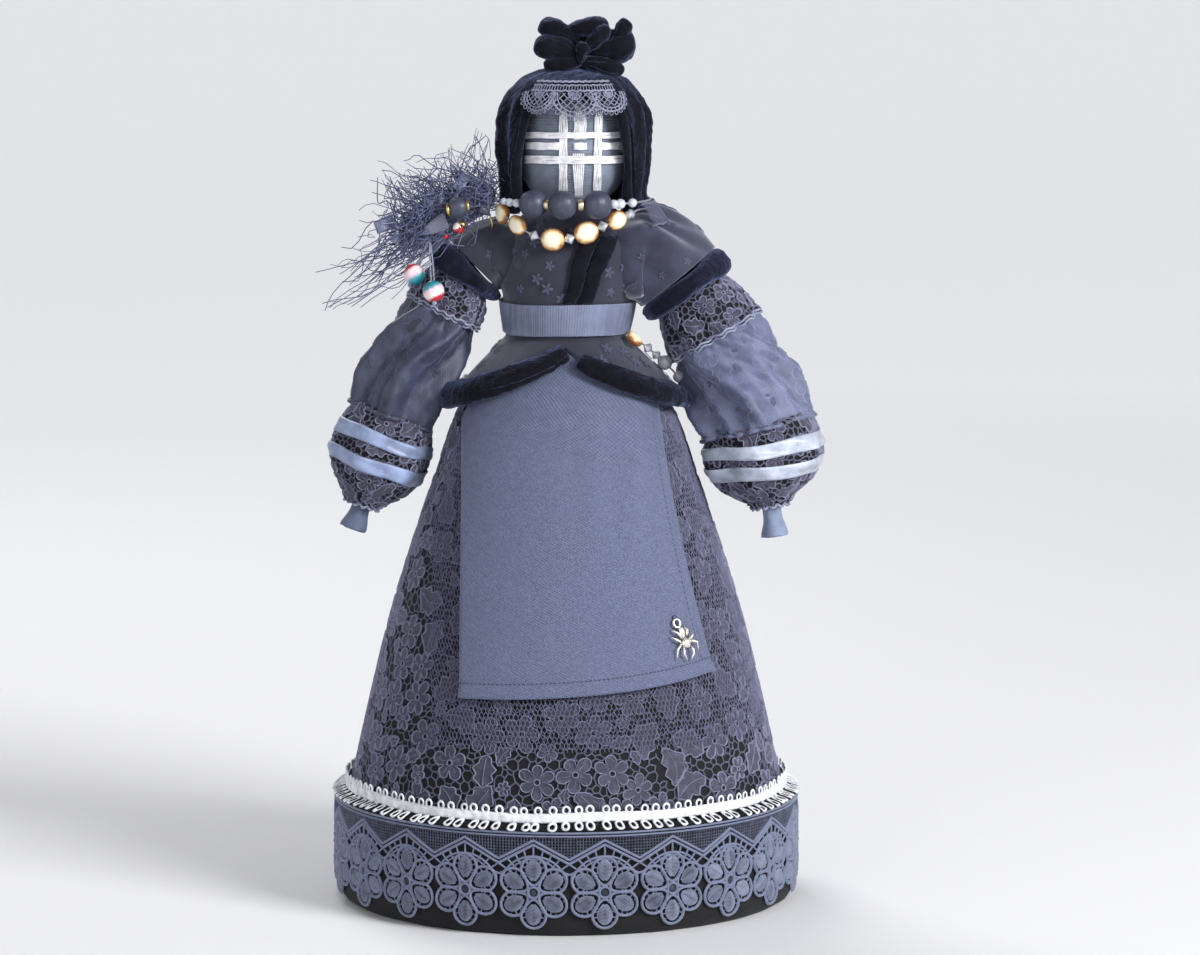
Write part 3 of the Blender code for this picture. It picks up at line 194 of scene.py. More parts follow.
class Shader:
    """A node material under construction."""

    def __init__(self, name, colour, roughness, metallic=0.0):
        self.material = bpy.data.materials.new(name)
        self.material.use_nodes = True
        self.tree = self.material.node_tree
        self.main = self.tree.nodes["Principled BSDF"]
        self.main.inputs["Base Color"].default_value = (*colour, 1.0)
        self.main.inputs["Roughness"].default_value = roughness
        self.main.inputs["Metallic"].default_value = metallic
        self.colour = colour

    def node(self, kind, **inputs):
        made = self.tree.nodes.new(kind)
        for key, value in inputs.items():
            self.feed(made.inputs[key.replace("_", " ")], value)
        return made

    def feed(self, socket, value):
        if isinstance(value, bpy.types.NodeSocket):
            self.tree.links.new(value, socket)
        else:
            socket.default_value = value

    def maths(self, operation, first, second=0.0):
        made = self.tree.nodes.new("ShaderNodeMath")
        made.operation = operation
        self.feed(made.inputs[0], first)
        self.feed(made.inputs[1], second)
        return made.outputs[0]

    def place(self):
        """Where a point is on the object, in metres."""
        return self.node("ShaderNodeTexCoord").outputs["Object"]

    def cloth_place(self):
        """Where a point is on the flat cloth, in metres."""
        return self.node("ShaderNodeTexCoord").outputs["UV"]

    def noise(self, size, detail=2.0, roughness=0.5):
        """Soft noise from 0 to 1 whose lumps are about size millimetres wide."""
        made = self.node("ShaderNodeTexNoise", Scale=1000.0 / size, Detail=detail, Roughness=roughness)
        self.feed(made.inputs["Vector"], self.place())
        return made.outputs["Fac"]

    def ridges(self, period, across, up):
        """Parallel ridges a period of millimetres apart, square to the direction (across, up)."""
        parts = self.node("ShaderNodeSeparateXYZ", Vector=self.cloth_place())
        step = 1000.0 * TURN / period
        first = self.maths("MULTIPLY", parts.outputs[0], across * step)
        second = self.maths("MULTIPLY", parts.outputs[1], up * step)
        return self.maths("SINE", self.maths("ADD", first, second))

    def vary(self, fac, dark, light):
        """Runs the colour from dark to light, as factors of it, with fac."""
        ramp = self.node("ShaderNodeValToRGB", Fac=fac)
        for element, position, factor in zip(ramp.color_ramp.elements, (0.25, 0.75), (dark, light)):
            element.position = position
            element.color = (*[c * factor for c in self.colour], 1.0)
        self.feed(self.main.inputs["Base Color"], ramp.outputs["Color"])
        return ramp

    def bump(self, height, strength, distance):
        """Raises the surface by height times distance millimetres."""
        last = self.main.inputs["Normal"].links
        made = self.node("ShaderNodeBump", Height=height, Strength=strength, Distance=distance * MM)
        if last:
            self.feed(made.inputs["Normal"], last[0].from_socket)
        self.feed(self.main.inputs["Normal"], made.outputs["Normal"])

    def sheen(self, weight, roughness, tint):
        self.main.inputs["Sheen Weight"].default_value = weight
        self.main.inputs["Sheen Roughness"].default_value = roughness
        self.main.inputs["Sheen Tint"].default_value = (*tint, 1.0)


def thread_shader(name, colour, roughness=0.75, sheen=0.3, cord=None):
    """Twisted thread or lace, with fine strands. Where the piece is tinted, it takes the cord's colour."""
    made = Shader(name, colour, roughness)
    if cord:
        tint = made.node("ShaderNodeAttribute")
        tint.attribute_name = "tint"
        mixed = made.maths("MULTIPLY", made.noise(2.2, 4.0), 0.5)
        ramp = made.vary(made.maths("ADD", mixed, made.maths("MULTIPLY", tint.outputs["Fac"], 0.5)), 0.7, 1.3)
        ramp.color_ramp.elements[1].color = (*cord, 1.0)
    else:
        made.vary(made.noise(3.0, 3.0), 0.72, 1.3)
    made.bump(made.noise(0.28, 2.0), 0.5, 0.12)
    made.sheen(sheen, 0.5, (0.75, 0.8, 1.0))
    return made.material


def plain_cloth_shader(name, colour, weave=0.35, roughness=0.85, sheen=0.25):
    """Closely woven cloth, with warp and weft."""
    made = Shader(name, colour, roughness)
    warp = made.ridges(weave, 1.0, 0.0)
    weft = made.ridges(weave, 0.0, 1.0)
    made.vary(made.noise(5.0, 4.0), 0.75, 1.25)
    made.bump(made.maths("MULTIPLY", warp, weft), 0.5, 0.06)
    made.bump(made.noise(2.2, 3.0), 0.3, 0.25)
    made.sheen(sheen, 0.45, (0.8, 0.85, 1.0))
    return made.material


def velvet_shader(name, colour):
    """Crushed pile: nearly black face on, with a cool sheen where it turns away."""
    made = Shader(name, colour, 0.95)
    crush = made.noise(4.5, 5.0, roughness=0.65)
    made.vary(crush, 0.3, 3.0)
    made.bump(made.noise(0.6, 3.0, roughness=0.7), 1.0, 0.45)
    made.bump(made.noise(2.4, 2.0), 0.6, 0.7)
    made.sheen(0.75, 0.24, (0.36, 0.46, 0.85))
    made.main.inputs["Specular IOR Level"].default_value = 0.2
    return made.material


def twill_shader(name, colour):
    """Matt apron cloth with a fine slanting rib over its threads."""
    made = Shader(name, colour, 0.8)
    rib = made.ridges(0.85, 0.55, 0.83)
    other = made.ridges(0.55, 0.97, -0.24)
    both = made.maths("ADD", rib, made.maths("MULTIPLY", other, 0.6))
    speckle = made.noise(0.7, 3.0)
    fac = made.maths("ADD", made.maths("MULTIPLY", both, 0.09), speckle)
    made.vary(fac, 0.72, 1.32)
    made.bump(both, 0.55, 0.12)
    made.bump(made.noise(6.0, 3.0), 0.35, 0.5)
    made.sheen(0.35, 0.4, (0.75, 0.82, 1.0))
    return made.material


def ribbed_shader(name, colour, period, roughness=0.55, sheen=0.4):
    """Cloth with ribs along its width, such as grosgrain or satin binding."""
    made = Shader(name, colour, roughness)
    made.vary(made.noise(9.0, 3.0), 0.7, 1.35)
    made.bump(made.ridges(period, 1.0, 0.0), 0.6, 0.1)
    made.sheen(sheen, 0.3, (0.85, 0.92, 1.0))
    return made.material


# Flat shapes that are then laid on a surface


THIN_CORD = ((-0.5, 0.0), (0.0, 1.0), (0.5, 0.0))
LACE_BAR = ((-0.27, 0.05), (0.0, 0.42), (0.27, 0.05))
NET_THREAD = ((-0.12, 0.0), (0.0, 0.2), (0.12, 0.0))
FULL_CORD = ((-0.5, 0.0), (-0.24, 0.95), (0.24, 0.95), (0.5, 0.0))


class Shapes:
    """Points, faces and tints that grow as shapes are added."""

    def __init__(self):
        self.points, self.faces, self.tints, self.count = [], [], [], 0

    def add(self, points, faces, tint=0.0):
        points = np.asarray(points, float).reshape(-1, 3)
        self.points.append(points)
        self.tints.append(np.broadcast_to(np.asarray(tint, float), (len(points),)))
        self.faces.extend([[i + self.count for i in face] for face in faces])
        self.count += len(points)

    def all_points(self):
        return np.concatenate(self.points)

    def all_tints(self):
        return np.concatenate(self.tints)


class Flat(Shapes):
    """Shapes on a flat cloth: points are (across, up, out), faces have three or four corners."""

    def __init__(self, profile=THIN_CORD):
        super().__init__()
        self.profile = profile

    def cord(self, path, width, height, closed=False, base=0.0, tint=1.0):
        """A raised cord along a path. The width may be an array, one value a point."""
        path = np.asarray(path, float)
        ahead = np.roll(path, -1, 0) - np.roll(path, 1, 0)
        if not closed:
            ahead[0], ahead[-1] = path[1] - path[0], path[-1] - path[-2]
        ahead /= np.maximum(np.linalg.norm(ahead, axis=1), 1e-9)[:, None]
        side = np.column_stack([-ahead[:, 1], ahead[:, 0]])
        width = np.broadcast_to(np.asarray(width, float), (len(path),))
        height = np.broadcast_to(np.asarray(height, float), (len(path),))
        rows = []
        for across, out in self.profile:
            rows.append(np.column_stack([path + side * (across * width)[:, None], base + out * height]))
        points = np.stack(rows, 1).reshape(-1, 3)
        n = len(path)
        k = np.arange(n if closed else n - 1)
        after = (k + 1) % n
        faces = []
        wide = len(self.profile)
        for j in range(wide - 1):
            low, high = k * wide + j, after * wide + j
            faces.append(np.column_stack([low, high, high + 1, low + 1]))
        self.add(points, np.concatenate(faces).tolist(), tint)

    def fill(self, outline, base, crown, rings=2, hole=0.0, tint=0.02):
        """A domed patch inside an outline that turns anticlockwise, with a hole if asked."""
        outline = np.asarray(outline, float)
        centre = outline.mean(0)
        n = len(outline)
        points, faces = [], []
        shares = np.linspace(1.0, hole, rings + 1) if hole else np.linspace(1.0, 0.0, rings + 1)[:-1]
        for share in shares:
            ring = centre + (outline - centre) * share
            points.append(np.column_stack([ring, np.full(n, base + crown * (1 - share**2))]))
        k = np.arange(n)
        after = (k + 1) % n
        for r in range(len(shares) - 1):
            low, high = r * n, (r + 1) * n
            faces += np.column_stack([low + k, low + after, high + after, high + k]).tolist()
        points = np.concatenate(points)
        if not hole:
            points = np.vstack([points, [*centre, base + crown]])
            last = (len(shares) - 1) * n
            faces += np.column_stack([last + k, last + after, np.full(n, len(points) - 1)]).tolist()
        self.add(points, faces, tint)

    def copies(self, other, places):
        """Copies of another flat drawing at (across, up, turn, size) places."""
        base = np.concatenate(other.points)
        for across, up, turned, size in places:
            c, s = math.cos(turned) * size, math.sin(turned) * size
            points = base.copy()
            points[:, 0] = across + c * base[:, 0] - s * base[:, 1]
            points[:, 1] = up + s * base[:, 0] + c * base[:, 1]
            self.add(points, other.faces, other.all_tints())


def add_mesh(name, points, faces, material, flat=None, split=None, tints=None):
    """A piece of the object, given in millimetres. flat holds each point's place on the cloth."""
    mesh = bpy.data.meshes.new(name)
    mesh.from_pydata((np.asarray(points, float) * MM).tolist(), [], list(faces))
    if flat is not None:
        layer = mesh.uv_layers.new(name="cloth")
        corner = np.empty(len(mesh.loops), np.int32)
        mesh.loops.foreach_get("vertex_index", corner)
        spots = np.asarray(flat, float)[corner] * MM
        layer.data.foreach_set("uv", spots.astype(np.float32).ravel())
    if tints is not None:
        mesh.attributes.new("tint", "FLOAT", "POINT").data.foreach_set("value", np.asarray(tints, np.float32))
    mesh.shade_smooth()
    if split:
        mesh.set_sharp_from_angle(angle=math.radians(split))
    mesh.materials.append(material)
    made = bpy.data.objects.new(name, mesh)
    bpy.context.scene.collection.objects.link(made)
    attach(made, "root")
    return made


def grid_faces(rows, columns, round_about=False, start=0):
    """Faces of a grid of points, row after row, whose outer side faces the viewer."""
    r, c = np.meshgrid(np.arange(rows - 1), np.arange(columns if round_about else columns - 1), indexing="ij")
    r, c = r.ravel(), c.ravel()
    after = (c + 1) % columns
    low, high = start + r * columns, start + (r + 1) * columns
    return np.column_stack([low + c, low + after, high + after, high + c]).tolist()


def add_grid(name, grid, material, flat=None, round_about=False, split=None):
    rows, columns = grid.shape[:2]
    faces = grid_faces(rows, columns, round_about)
    spots = None if flat is None else flat.reshape(-1, 2)
    return add_mesh(name, grid.reshape(-1, 3), faces, material, spots, split)


def solidify(piece, thickness, offset=-1.0):
    made = piece.modifiers.new("thickness", "SOLIDIFY")
    made.thickness = thickness * MM
    made.offset = offset
    return piece


def waves(points, size, seed=0.0):
    """Smooth noise from -1 to 1 at points, with lumps about size wide."""
    shift = Vector((seed * 3.1, seed * 7.7, seed * 1.3))
    found = [noise.noise(Vector(p) / size + shift) for p in points.reshape(-1, 3)]
    return np.reshape(found, points.shape[:-1])


# The skirt


def skirt_radius(height):
    return curve(SKIRT_OUTLINE, height)


def gather(angle, height):
    share = np.clip((height - HEM_TOP) / (HIP - HEM_TOP), 0.0, 1.0)
    behind = smooth(-np.cos(angle) * 1.6)
    wave = 0.5 + 0.5 * np.cos(GATHERS * angle)
    return GATHER_DEPTH * behind * wave * np.sin(np.pi * share)


def round_points(radius, angle, height):
    """Points round the doll's axis, from arrays that broadcast."""
    radius, angle, height = np.broadcast_arrays(radius, angle, height)
    return np.stack([radius * np.sin(angle), -radius * np.cos(angle), height], -1)


def skirt_points(angle, height, off):
    return round_points(skirt_radius(height) + gather(angle, height) + off, angle, height)


def skirt_spot(angle, height, off):
    """One point over the skirt."""
    return skirt_points(np.array([angle]), np.array([height]), off)[0]


SLANT_HEIGHTS = np.linspace(HEM_TOP, SKIRT_TOP, 400)
SLANT = np.concatenate(
    [[0.0], np.cumsum(np.hypot(np.diff(SLANT_HEIGHTS), np.diff(skirt_radius(SLANT_HEIGHTS))))]
)


def slant_height(slant):
    """The height at a distance up the skirt's slope."""
    return np.interp(slant, SLANT, SLANT_HEIGHTS)


class Surface:
    """A cloth's surface: point(angle, along, off) in space, and radius(along) round its axis."""

    def __init__(self, point, radius):
        self.point, self.radius = point, radius

    def lay(self, points, angle, along, off=0.0):
        """Lays a flat drawing on the surface round a middle, without stretching it."""
        level = along + points[:, 1]
        around = angle + points[:, 0] / self.radius(level)
        return self.point(around, level, off + points[:, 2])


SKIRT = Surface(
    lambda angle, slant, off: skirt_points(angle, slant_height(slant), off),
    lambda slant: skirt_radius(slant_height(slant)),
)


def add_skirt_lining(looks):
    heights = np.linspace(HEM_TOP - 1.0, SKIRT_TOP, 32)[:, None]
    angles = turns(180, -np.pi)[None, :]
    grid = skirt_points(angles, heights, LINING_OFF)
    flat = flat_map(angles * 60.0, heights)
    add_grid("skirt_lining", grid, looks["lining"], flat, round_about=True)


def petal_flower(radius, petals, rng):
    """An open flower of the lace: filled petals, a raised double rim, veins and a dark eye."""
    drawn = Flat()
    around = turns(8 * petals)
    lobes = np.abs(np.cos(around * petals / 2)) ** 0.5
    wobble = 1 + 0.07 * np.sin(around * 2 + rng.uniform(0, 6)) + 0.05 * np.sin(around * 3 + rng.uniform(0, 6))
    reach = radius * (0.4 + 0.6 * lobes) * wobble
    way = np.column_stack([np.cos(around), np.sin(around)])
    drawn.fill(way * reach[:, None], 0.16, 0.0, rings=1, hole=0.12)
    drawn.cord(way * reach[:, None], 0.46, 0.6, closed=True, base=0.1)
    drawn.cord(way[::4] * radius * 0.17, 0.42, 0.5, closed=True, base=0.1)
    for k in range(petals):
        turned = (k + 0.5) * TURN / petals + np.pi / petals * (petals % 2)
        ends = np.array([[0.28, 0.0], [0.5, 0.05], [0.68, 0.0]]) * radius
        c, s = math.cos(turned), math.sin(turned)
        drawn.cord(ends @ np.array([[c, s], [-s, c]]), 0.34, 0.4, base=0.1, tint=0.5)
    return drawn


def lace_leaf(length, width, rng):
    """A pointed leaf of the lace, with a midrib and side veins."""
    drawn = Flat()
    share = np.linspace(0, 1, 13)
    half = width / 2 * np.sin(np.pi * share) ** 0.7 * (1 + 0.24 * np.sin(share * 19 + rng.uniform(0, 6)))
    bend = rng.uniform(-0.22, 0.22) * length * np.sin(np.pi * share)
    along = (share - 0.5) * length
    low = np.column_stack([along, bend - half])
    high = np.column_stack([along, bend + half])[::-1]
    rim = np.vstack([low, high[1:-1]])
    drawn.fill(rim, 0.16, 0.0, rings=1)
    drawn.cord(rim, 0.46, 0.6, closed=True, base=0.1)
    drawn.cord(np.column_stack([along, bend])[1:-1:2], 0.38, 0.46, base=0.1, tint=0.6)
    return drawn


def lace_places(surface, rng, sizes, low, high, room, tries):
    """Scatters (angle, along, size) places over a surface so that they keep clear of each other."""
    placed = []
    spots = np.empty((0, 3))
    radii = np.empty(0)
    widest = max(float(surface.radius(low)), float(surface.radius(high)))
    for size in sizes:
        for _ in range(tries):
            along = rng.uniform(low, high)
            if rng.uniform() > float(surface.radius(along)) / widest:
                continue
            angle = rng.uniform(-np.pi, np.pi)
            spot = surface.point(np.array([angle]), np.array([along]), 0.0)[0]
            if len(spots) and (np.linalg.norm(spots - spot, axis=1) < (radii + size) * room).any():
                continue
            spots = np.vstack([spots, spot])
            radii = np.append(radii, size)
            placed.append((angle, along, size))
    return placed


def add_motifs(name, surface, placed, low, high, off, rng, material, slot):
    laid = Body()
    for angle, along, size in placed:
        kind = rng.uniform()
        if kind < (0.55 if size > 4.0 else 0.4):
            drawn = petal_flower(size * 0.98, int(rng.integers(5, 7)), rng)
        else:
            drawn = lace_leaf(size * 2.15, size * 1.35, rng)
        base = drawn.all_points()
        turned = rng.uniform(0, TURN)
        c, s = math.cos(turned), math.sin(turned)
        spun = base.copy()
        spun[:, 0] = c * base[:, 0] - s * base[:, 1]
        spun[:, 1] = np.clip(s * base[:, 0] + c * base[:, 1], low - along, high - along)
        laid.add(surface.lay(spun, angle, along, off), drawn.faces, drawn.all_tints())
    return laid.build(name, material, slot)


def thread_mesh(point, starts, stops, radius, profile):
    """Straight threads on a round cloth, from their (angle, height) ends, each with a raised middle."""
    way = np.column_stack([(stops[:, 0] - starts[:, 0]) * radius, stops[:, 1] - starts[:, 1]])
    way /= np.maximum(np.linalg.norm(way, axis=1), 1e-6)[:, None]
    side = np.column_stack([-way[:, 1], way[:, 0]])
    points = []
    for end in (starts, stops):
        for across, out in profile:
            angle = end[:, 0] + side[:, 0] * across / radius
            points.append(point(angle, end[:, 1] + side[:, 1] * across, out))
    k = np.arange(len(starts)) * 6
    faces = np.vstack([np.column_stack([k + j, k + j + 3, k + j + 4, k + j + 1]) for j in (0, 1)])
    return np.stack(points, 1).reshape(-1, 3), faces.tolist()


def add_lace_bars(name, surface, placed, low, high, cell, off, rng, material):
    """The bars of a lace ground, as the edges between cells of about one size."""
    levels = np.linspace(low, high, 300)
    radii = surface.radius(levels)
    # equal steps on this map are equal on the cloth, once divided by the radius there
    map_up = np.concatenate([[0.0], np.cumsum(np.diff(levels) / ((radii[1:] + radii[:-1]) / 2))])
    spots = []
    level, row = low, 0
    while level < high:
        radius = float(surface.radius(level))
        columns = max(10, int(TURN * radius / cell))
        angles = (np.arange(columns) + 0.5 * (row % 2)) * TURN / columns - np.pi
        angles = angles + rng.uniform(-0.44, 0.44, columns) * cell / radius
        heights = level + rng.uniform(-0.44, 0.44, columns) * cell
        spots.append(np.column_stack([angles, np.interp(heights, levels, map_up)]))
        level += cell * 0.87
        row += 1
    spots = np.concatenate(spots)
    left, right = spots[spots[:, 0] > np.pi - 0.4], spots[spots[:, 0] < -np.pi + 0.4]
    spots = np.concatenate([spots, left - [TURN, 0], right + [TURN, 0]])
    flat, _, triangles, _, _, _ = delaunay_2d_cdt([Vector(p) for p in spots], [], [], 0, 1e-9)
    flat = np.array([tuple(p) for p in flat])
    triangles = np.array(triangles)
    middles = flat[triangles].mean(1)
    owners = {}
    for k, corners in enumerate(triangles):
        for a, b in ((0, 1), (1, 2), (2, 0)):
            owners.setdefault((min(corners[a], corners[b]), max(corners[a], corners[b])), []).append(k)
    ends = middles[np.array([pair for pair in owners.values() if len(pair) == 2])]
    middle = ends.mean(1)
    heights = np.interp(ends[:, :, 1], map_up, levels)
    inside = (np.abs(middle[:, 0]) <= np.pi) & (middle[:, 1] > 0.002) & (middle[:, 1] < map_up[-1] - 0.004)
    inside &= np.abs(heights[:, 0] - heights[:, 1]) < 2.5 * cell
    where = surface.point(middle[:, 0], np.interp(middle[:, 1], map_up, levels), 0.0)
    for angle, along, size in placed:
        spot = surface.point(np.array([angle]), np.array([along]), 0.0)[0]
        inside &= np.linalg.norm(where - spot, axis=1) > size * 0.72
    ends, heights = ends[inside], heights[inside]
    radius = surface.radius(heights.mean(1))
    starts, stops = (np.column_stack([ends[:, k, 0], heights[:, k]]) for k in (0, 1))
    points, faces = thread_mesh(
        lambda angle, height, out: surface.point(angle, height, off + out), starts, stops, radius, LACE_BAR
    )
    add_mesh(name, points, faces, material)


def add_skirt_lace(looks):
    """Floral lace over the whole skirt: corded flowers and leaves, and a net of bars between."""
    rng = np.random.default_rng(SEED)
    top = float(SLANT[-1])
    placed = lace_places(SKIRT, rng, (6.4, 5.4, 4.4, 3.4, 2.5), 1.5, top - 4.0, 0.87, 1500)
    motifs = add_motifs("skirt_lace_flowers", SKIRT, placed, 0.0, top, LACE_OFF, rng, looks["lace"], "lace")
    bars = looks["lace_bars"]
    add_lace_bars("skirt_lace_bars", SKIRT, placed, 0.0, top, LACE_CELL, LACE_OFF, rng, bars)
    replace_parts(motifs, "lace_skirt")


def add_net_panel(looks):
    """Black tulle that hangs under the apron: a hexagonal net of flat threads."""
    columns, rows = 92, 74
    heights = np.linspace(NET_HEM, SKIRT_TOP - 1.0, rows * 2 + 1)
    radius = skirt_radius(heights) + NET_OFF
    left = np.arcsin(np.maximum(-0.9, NET_LEFT_EDGE / radius))

    def spot(column, row, side, up):
        level = np.interp(row + up, np.arange(rows + 1), heights[::2])
        edge = np.interp(level, heights, left)
        angle = edge + (NET_RIGHT - edge) * (column + side) / columns
        return angle, level

    starts, stops = [], []
    for row in range(rows):
        column = np.arange(columns) + 0.5 * (row % 2)
        shoulder = spot(column, row, 0.0, 0.5)
        foot = spot(column, row, 0.0, 0.0)
        right = spot(column, row, 0.5, 1.0)
        lefts = spot(column, row, -0.5, 1.0)
        for a, b in ((foot, shoulder), (shoulder, right), (shoulder, lefts)):
            starts.append(np.column_stack(np.broadcast_arrays(*a)))
            stops.append(np.column_stack(np.broadcast_arrays(*b)))
    starts, stops = np.concatenate(starts), np.concatenate(stops)
    around = skirt_radius((starts[:, 1] + stops[:, 1]) / 2)
    points, faces = thread_mesh(
        lambda angle, height, out: skirt_points(angle, np.minimum(height, SKIRT_TOP), NET_OFF - 0.1 + out),
        starts, stops, around, NET_THREAD,
    )
    piece = add_mesh("net_panel", points, faces, looks["net"])
    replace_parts(piece, "net_overskirt")


def apron_edges(height):
    radius = skirt_radius(height) + APRON_OFF
    share = np.clip((SKIRT_TOP - height) / (SKIRT_TOP - APRON_HEM_RIGHT), 0.0, 1.2)
    right = APRON_RIGHT_TOP + (APRON_RIGHT_HEM - APRON_RIGHT_TOP) * share**1.5
    return np.arcsin(np.maximum(-0.88, APRON_LEFT / radius)), np.arcsin(np.minimum(0.88, right / radius))


def apron_spots(across, share):
    """Angle and height on the apron, for shares from its left edge and from its hem."""
    foot = APRON_HEM_LEFT + (APRON_HEM_RIGHT - APRON_HEM_LEFT) * across - 1.2 * np.sin(np.pi * across)
    height = foot + (SKIRT_TOP - 0.5 - foot) * share
    left, right = apron_edges(height)
    return left + (right - left) * across, height


def apron_points(across, share, off):
    angle, height = apron_spots(across, share)
    radius = skirt_radius(height) + APRON_OFF
    x = radius * np.sin(angle)
    fade = smooth((height - 118) / 34) * smooth((186 - height) / 12)
    lift = 1.5 * np.exp(-(((x - FOLD_AT) / 4.5) ** 2)) * fade
    lift = lift + 0.8 * np.exp(-(((x - FOLD_AT + 13) / 5) ** 2)) * fade
    lift = lift + 0.35 * np.sin(across * 9 + 1.2) * smooth((140 - height) / 50)
    lift = lift + 0.5 * smooth((0.035 - share) / 0.01) + 0.4 * smooth((across - 0.972) / 0.01)
    return round_points(radius + lift + off, angle, height)


def add_apron(looks):
    across = np.linspace(0, 1, 76)[None, :]
    share = np.linspace(0, 1, 96)[:, None] ** 1.05
    grid = apron_points(across, share, 0.0)
    flat = flat_map(across * 88.0, share * 118.0)
    piece = add_grid("apron_cloth", grid, looks["apron"], flat)
    solidify(piece, 0.7)
    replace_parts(piece, "apron")

    drawn = Body()
    runs = []
    for k in range(STITCHES):
        first, last = k / STITCHES, (k + STITCH_LENGTH) / STITCHES
        runs.append(((first, HEM_STITCHES_AT), (last, HEM_STITCHES_AT)))
    for k in range(3, STITCHES - 2):
        first, last = k / STITCHES, (k + STITCH_LENGTH) / STITCHES
        runs.append(((SIDE_STITCHES_AT, first), (SIDE_STITCHES_AT, last)))
    for first, last in runs:
        level = first[1] == last[1]
        path = np.linspace(first, last, 4)
        width = np.array([0.0012, 0.002, 0.002, 0.0012]) * (1.0 if level else 1.2)
        side = np.array([0.0, 1.0]) if level else np.array([1.0, 0.0])
        rows = []
        for step, out in ((-1, 0.02), (0, 0.2), (1, 0.02)):
            spot = path + side * (step * width)[:, None]
            rows.append(apron_points(spot[:, 0], spot[:, 1], out + 0.02))
        drawn.grid(np.stack(rows, 0))
    drawn.build("apron_stitches", looks["dark_thread"], "apron")
    add_waist_net(looks)


def add_waist_net(looks):
    """Coarser net that covers the apron's top, down to a soft uneven edge."""
    columns, rows = 44, 26
    points, faces, count = [], [], 0
    for row in range(rows):
        for column in range(columns):
            for way in (-1, 1):
                a = ((column + 0.5) / columns, row / rows)
                b = ((column + 0.5 + way) / columns, (row + 1) / rows)
                if not 0 <= b[0] <= 1:
                    continue
                ends = []
                for across, up in (a, b):
                    edge = 0.70 + 0.05 * math.sin(across * 5.2 + 0.4)
                    ends.append((across, edge + (0.985 - edge) * up))
                for end in ends:
                    for side in (-0.0021, 0.0021):
                        points.append((end[0] + side, end[1]))
                faces.append([count + k for k in ((0, 2, 3, 1) if way > 0 else (0, 1, 3, 2))])
                count += 4
    spots = np.array(points)
    laid = apron_points(np.clip(spots[:, 0], 0, 1), spots[:, 1], 0.28)
    add_mesh("waist_net", laid, faces, looks["net_pale"])


# The padded hem


def add_hem_band(looks):
    share = np.linspace(0, 1, 40)
    heights = HEM_TOP * share
    rounding = np.clip(1 - np.minimum(heights, HEM_TOP - heights) / HEM_ROUNDING, 0, 1)
    radius = HEM_RADIUS - (HEM_RADIUS - HEM_FOOT_RADIUS) * (1 - np.sqrt(1 - rounding**2))
    angles = turns(200, -np.pi)
    lumps = 0.22 * np.cos(angles * 13 + 1) + 0.18 * np.cos(angles * 29)
    outer = round_points(radius[:, None] - 0.35 + lumps[None, :] * 0.6, angles[None, :], heights[:, None])
    inner_radius = np.array([75.6, 75.4])
    inner = round_points(inner_radius[:, None], angles[None, :], np.array([HEM_TOP, 0.0])[:, None])
    grid = np.concatenate([outer, inner, outer[:1]])
    flat = flat_map(angles[None, :] * HEM_RADIUS, np.arange(len(grid))[:, None] * 1.0)
    piece = add_grid("hem_padding", grid, looks["lining"], flat, round_about=True)
    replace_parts(piece, "hem_band")


def ellipse(across, up, wide, tall, turned=0.0, count=20, start=0.0):
    around = turns(count) + start
    x, y = np.cos(around) * wide, np.sin(around) * tall
    c, s = math.cos(turned), math.sin(turned)
    return np.column_stack([across + c * x - s * y, up + s * x + c * y])


def hem_petal():
    """A petal of the hem lace, upright over the flower's middle: filled, ringed and picoted."""
    drawn = Flat(FULL_CORD)
    loop = ellipse(0, PETAL_REACH + 0.1, 4.35, 5.0, count=44)
    squeeze = 0.62 + 0.38 * smooth((loop[:, 1] - 2.4) / 6.0)
    loop[:, 0] *= squeeze
    knots = 0.9 + 0.22 * (np.arange(44) % 2)
    drawn.cord(loop, knots, 0.75 + 0.12 * (np.arange(44) % 2), closed=True, base=0.25)
    raised = Flat()
    heart = ellipse(0, PETAL_REACH + 0.35, 2.85, 3.7, count=22)
    heart[:, 0] *= 0.68 + 0.32 * smooth((heart[:, 1] - 3.4) / 5.0)
    raised.fill(heart, 0.3, 0.4, rings=2, tint=0.1)
    for k in range(-7, 8):
        level = PETAL_REACH + 0.35 + k * 0.47
        reach = 2.75 * math.sqrt(max(0.0, 1 - (k * 0.47 / 3.7) ** 2))
        reach *= 0.68 + 0.32 * float(smooth((level - 3.4) / 5.0))
        rise = 0.75 * (1 - (k * 0.47 / 3.7) ** 2)
        path = np.column_stack([np.linspace(-1, 1, 5) * reach, level + np.array([-0.2, 0.0, 0.2, 0.0, -0.2])])
        heights = np.array([0.2, rise + 0.3, rise * 0.45 + 0.2, rise + 0.3, 0.2])
        raised.cord(path, 0.44, heights, base=0.32, tint=0.85)
    for side in (-1, 1):
        for k in range(4):
            level = PETAL_REACH - 2.6 + k * 1.9
            inner = side * 2.4
            drawn.cord([[inner, level], [side * 3.9, level + 0.3]], 0.42, 0.3, base=0.3)
    return drawn, raised


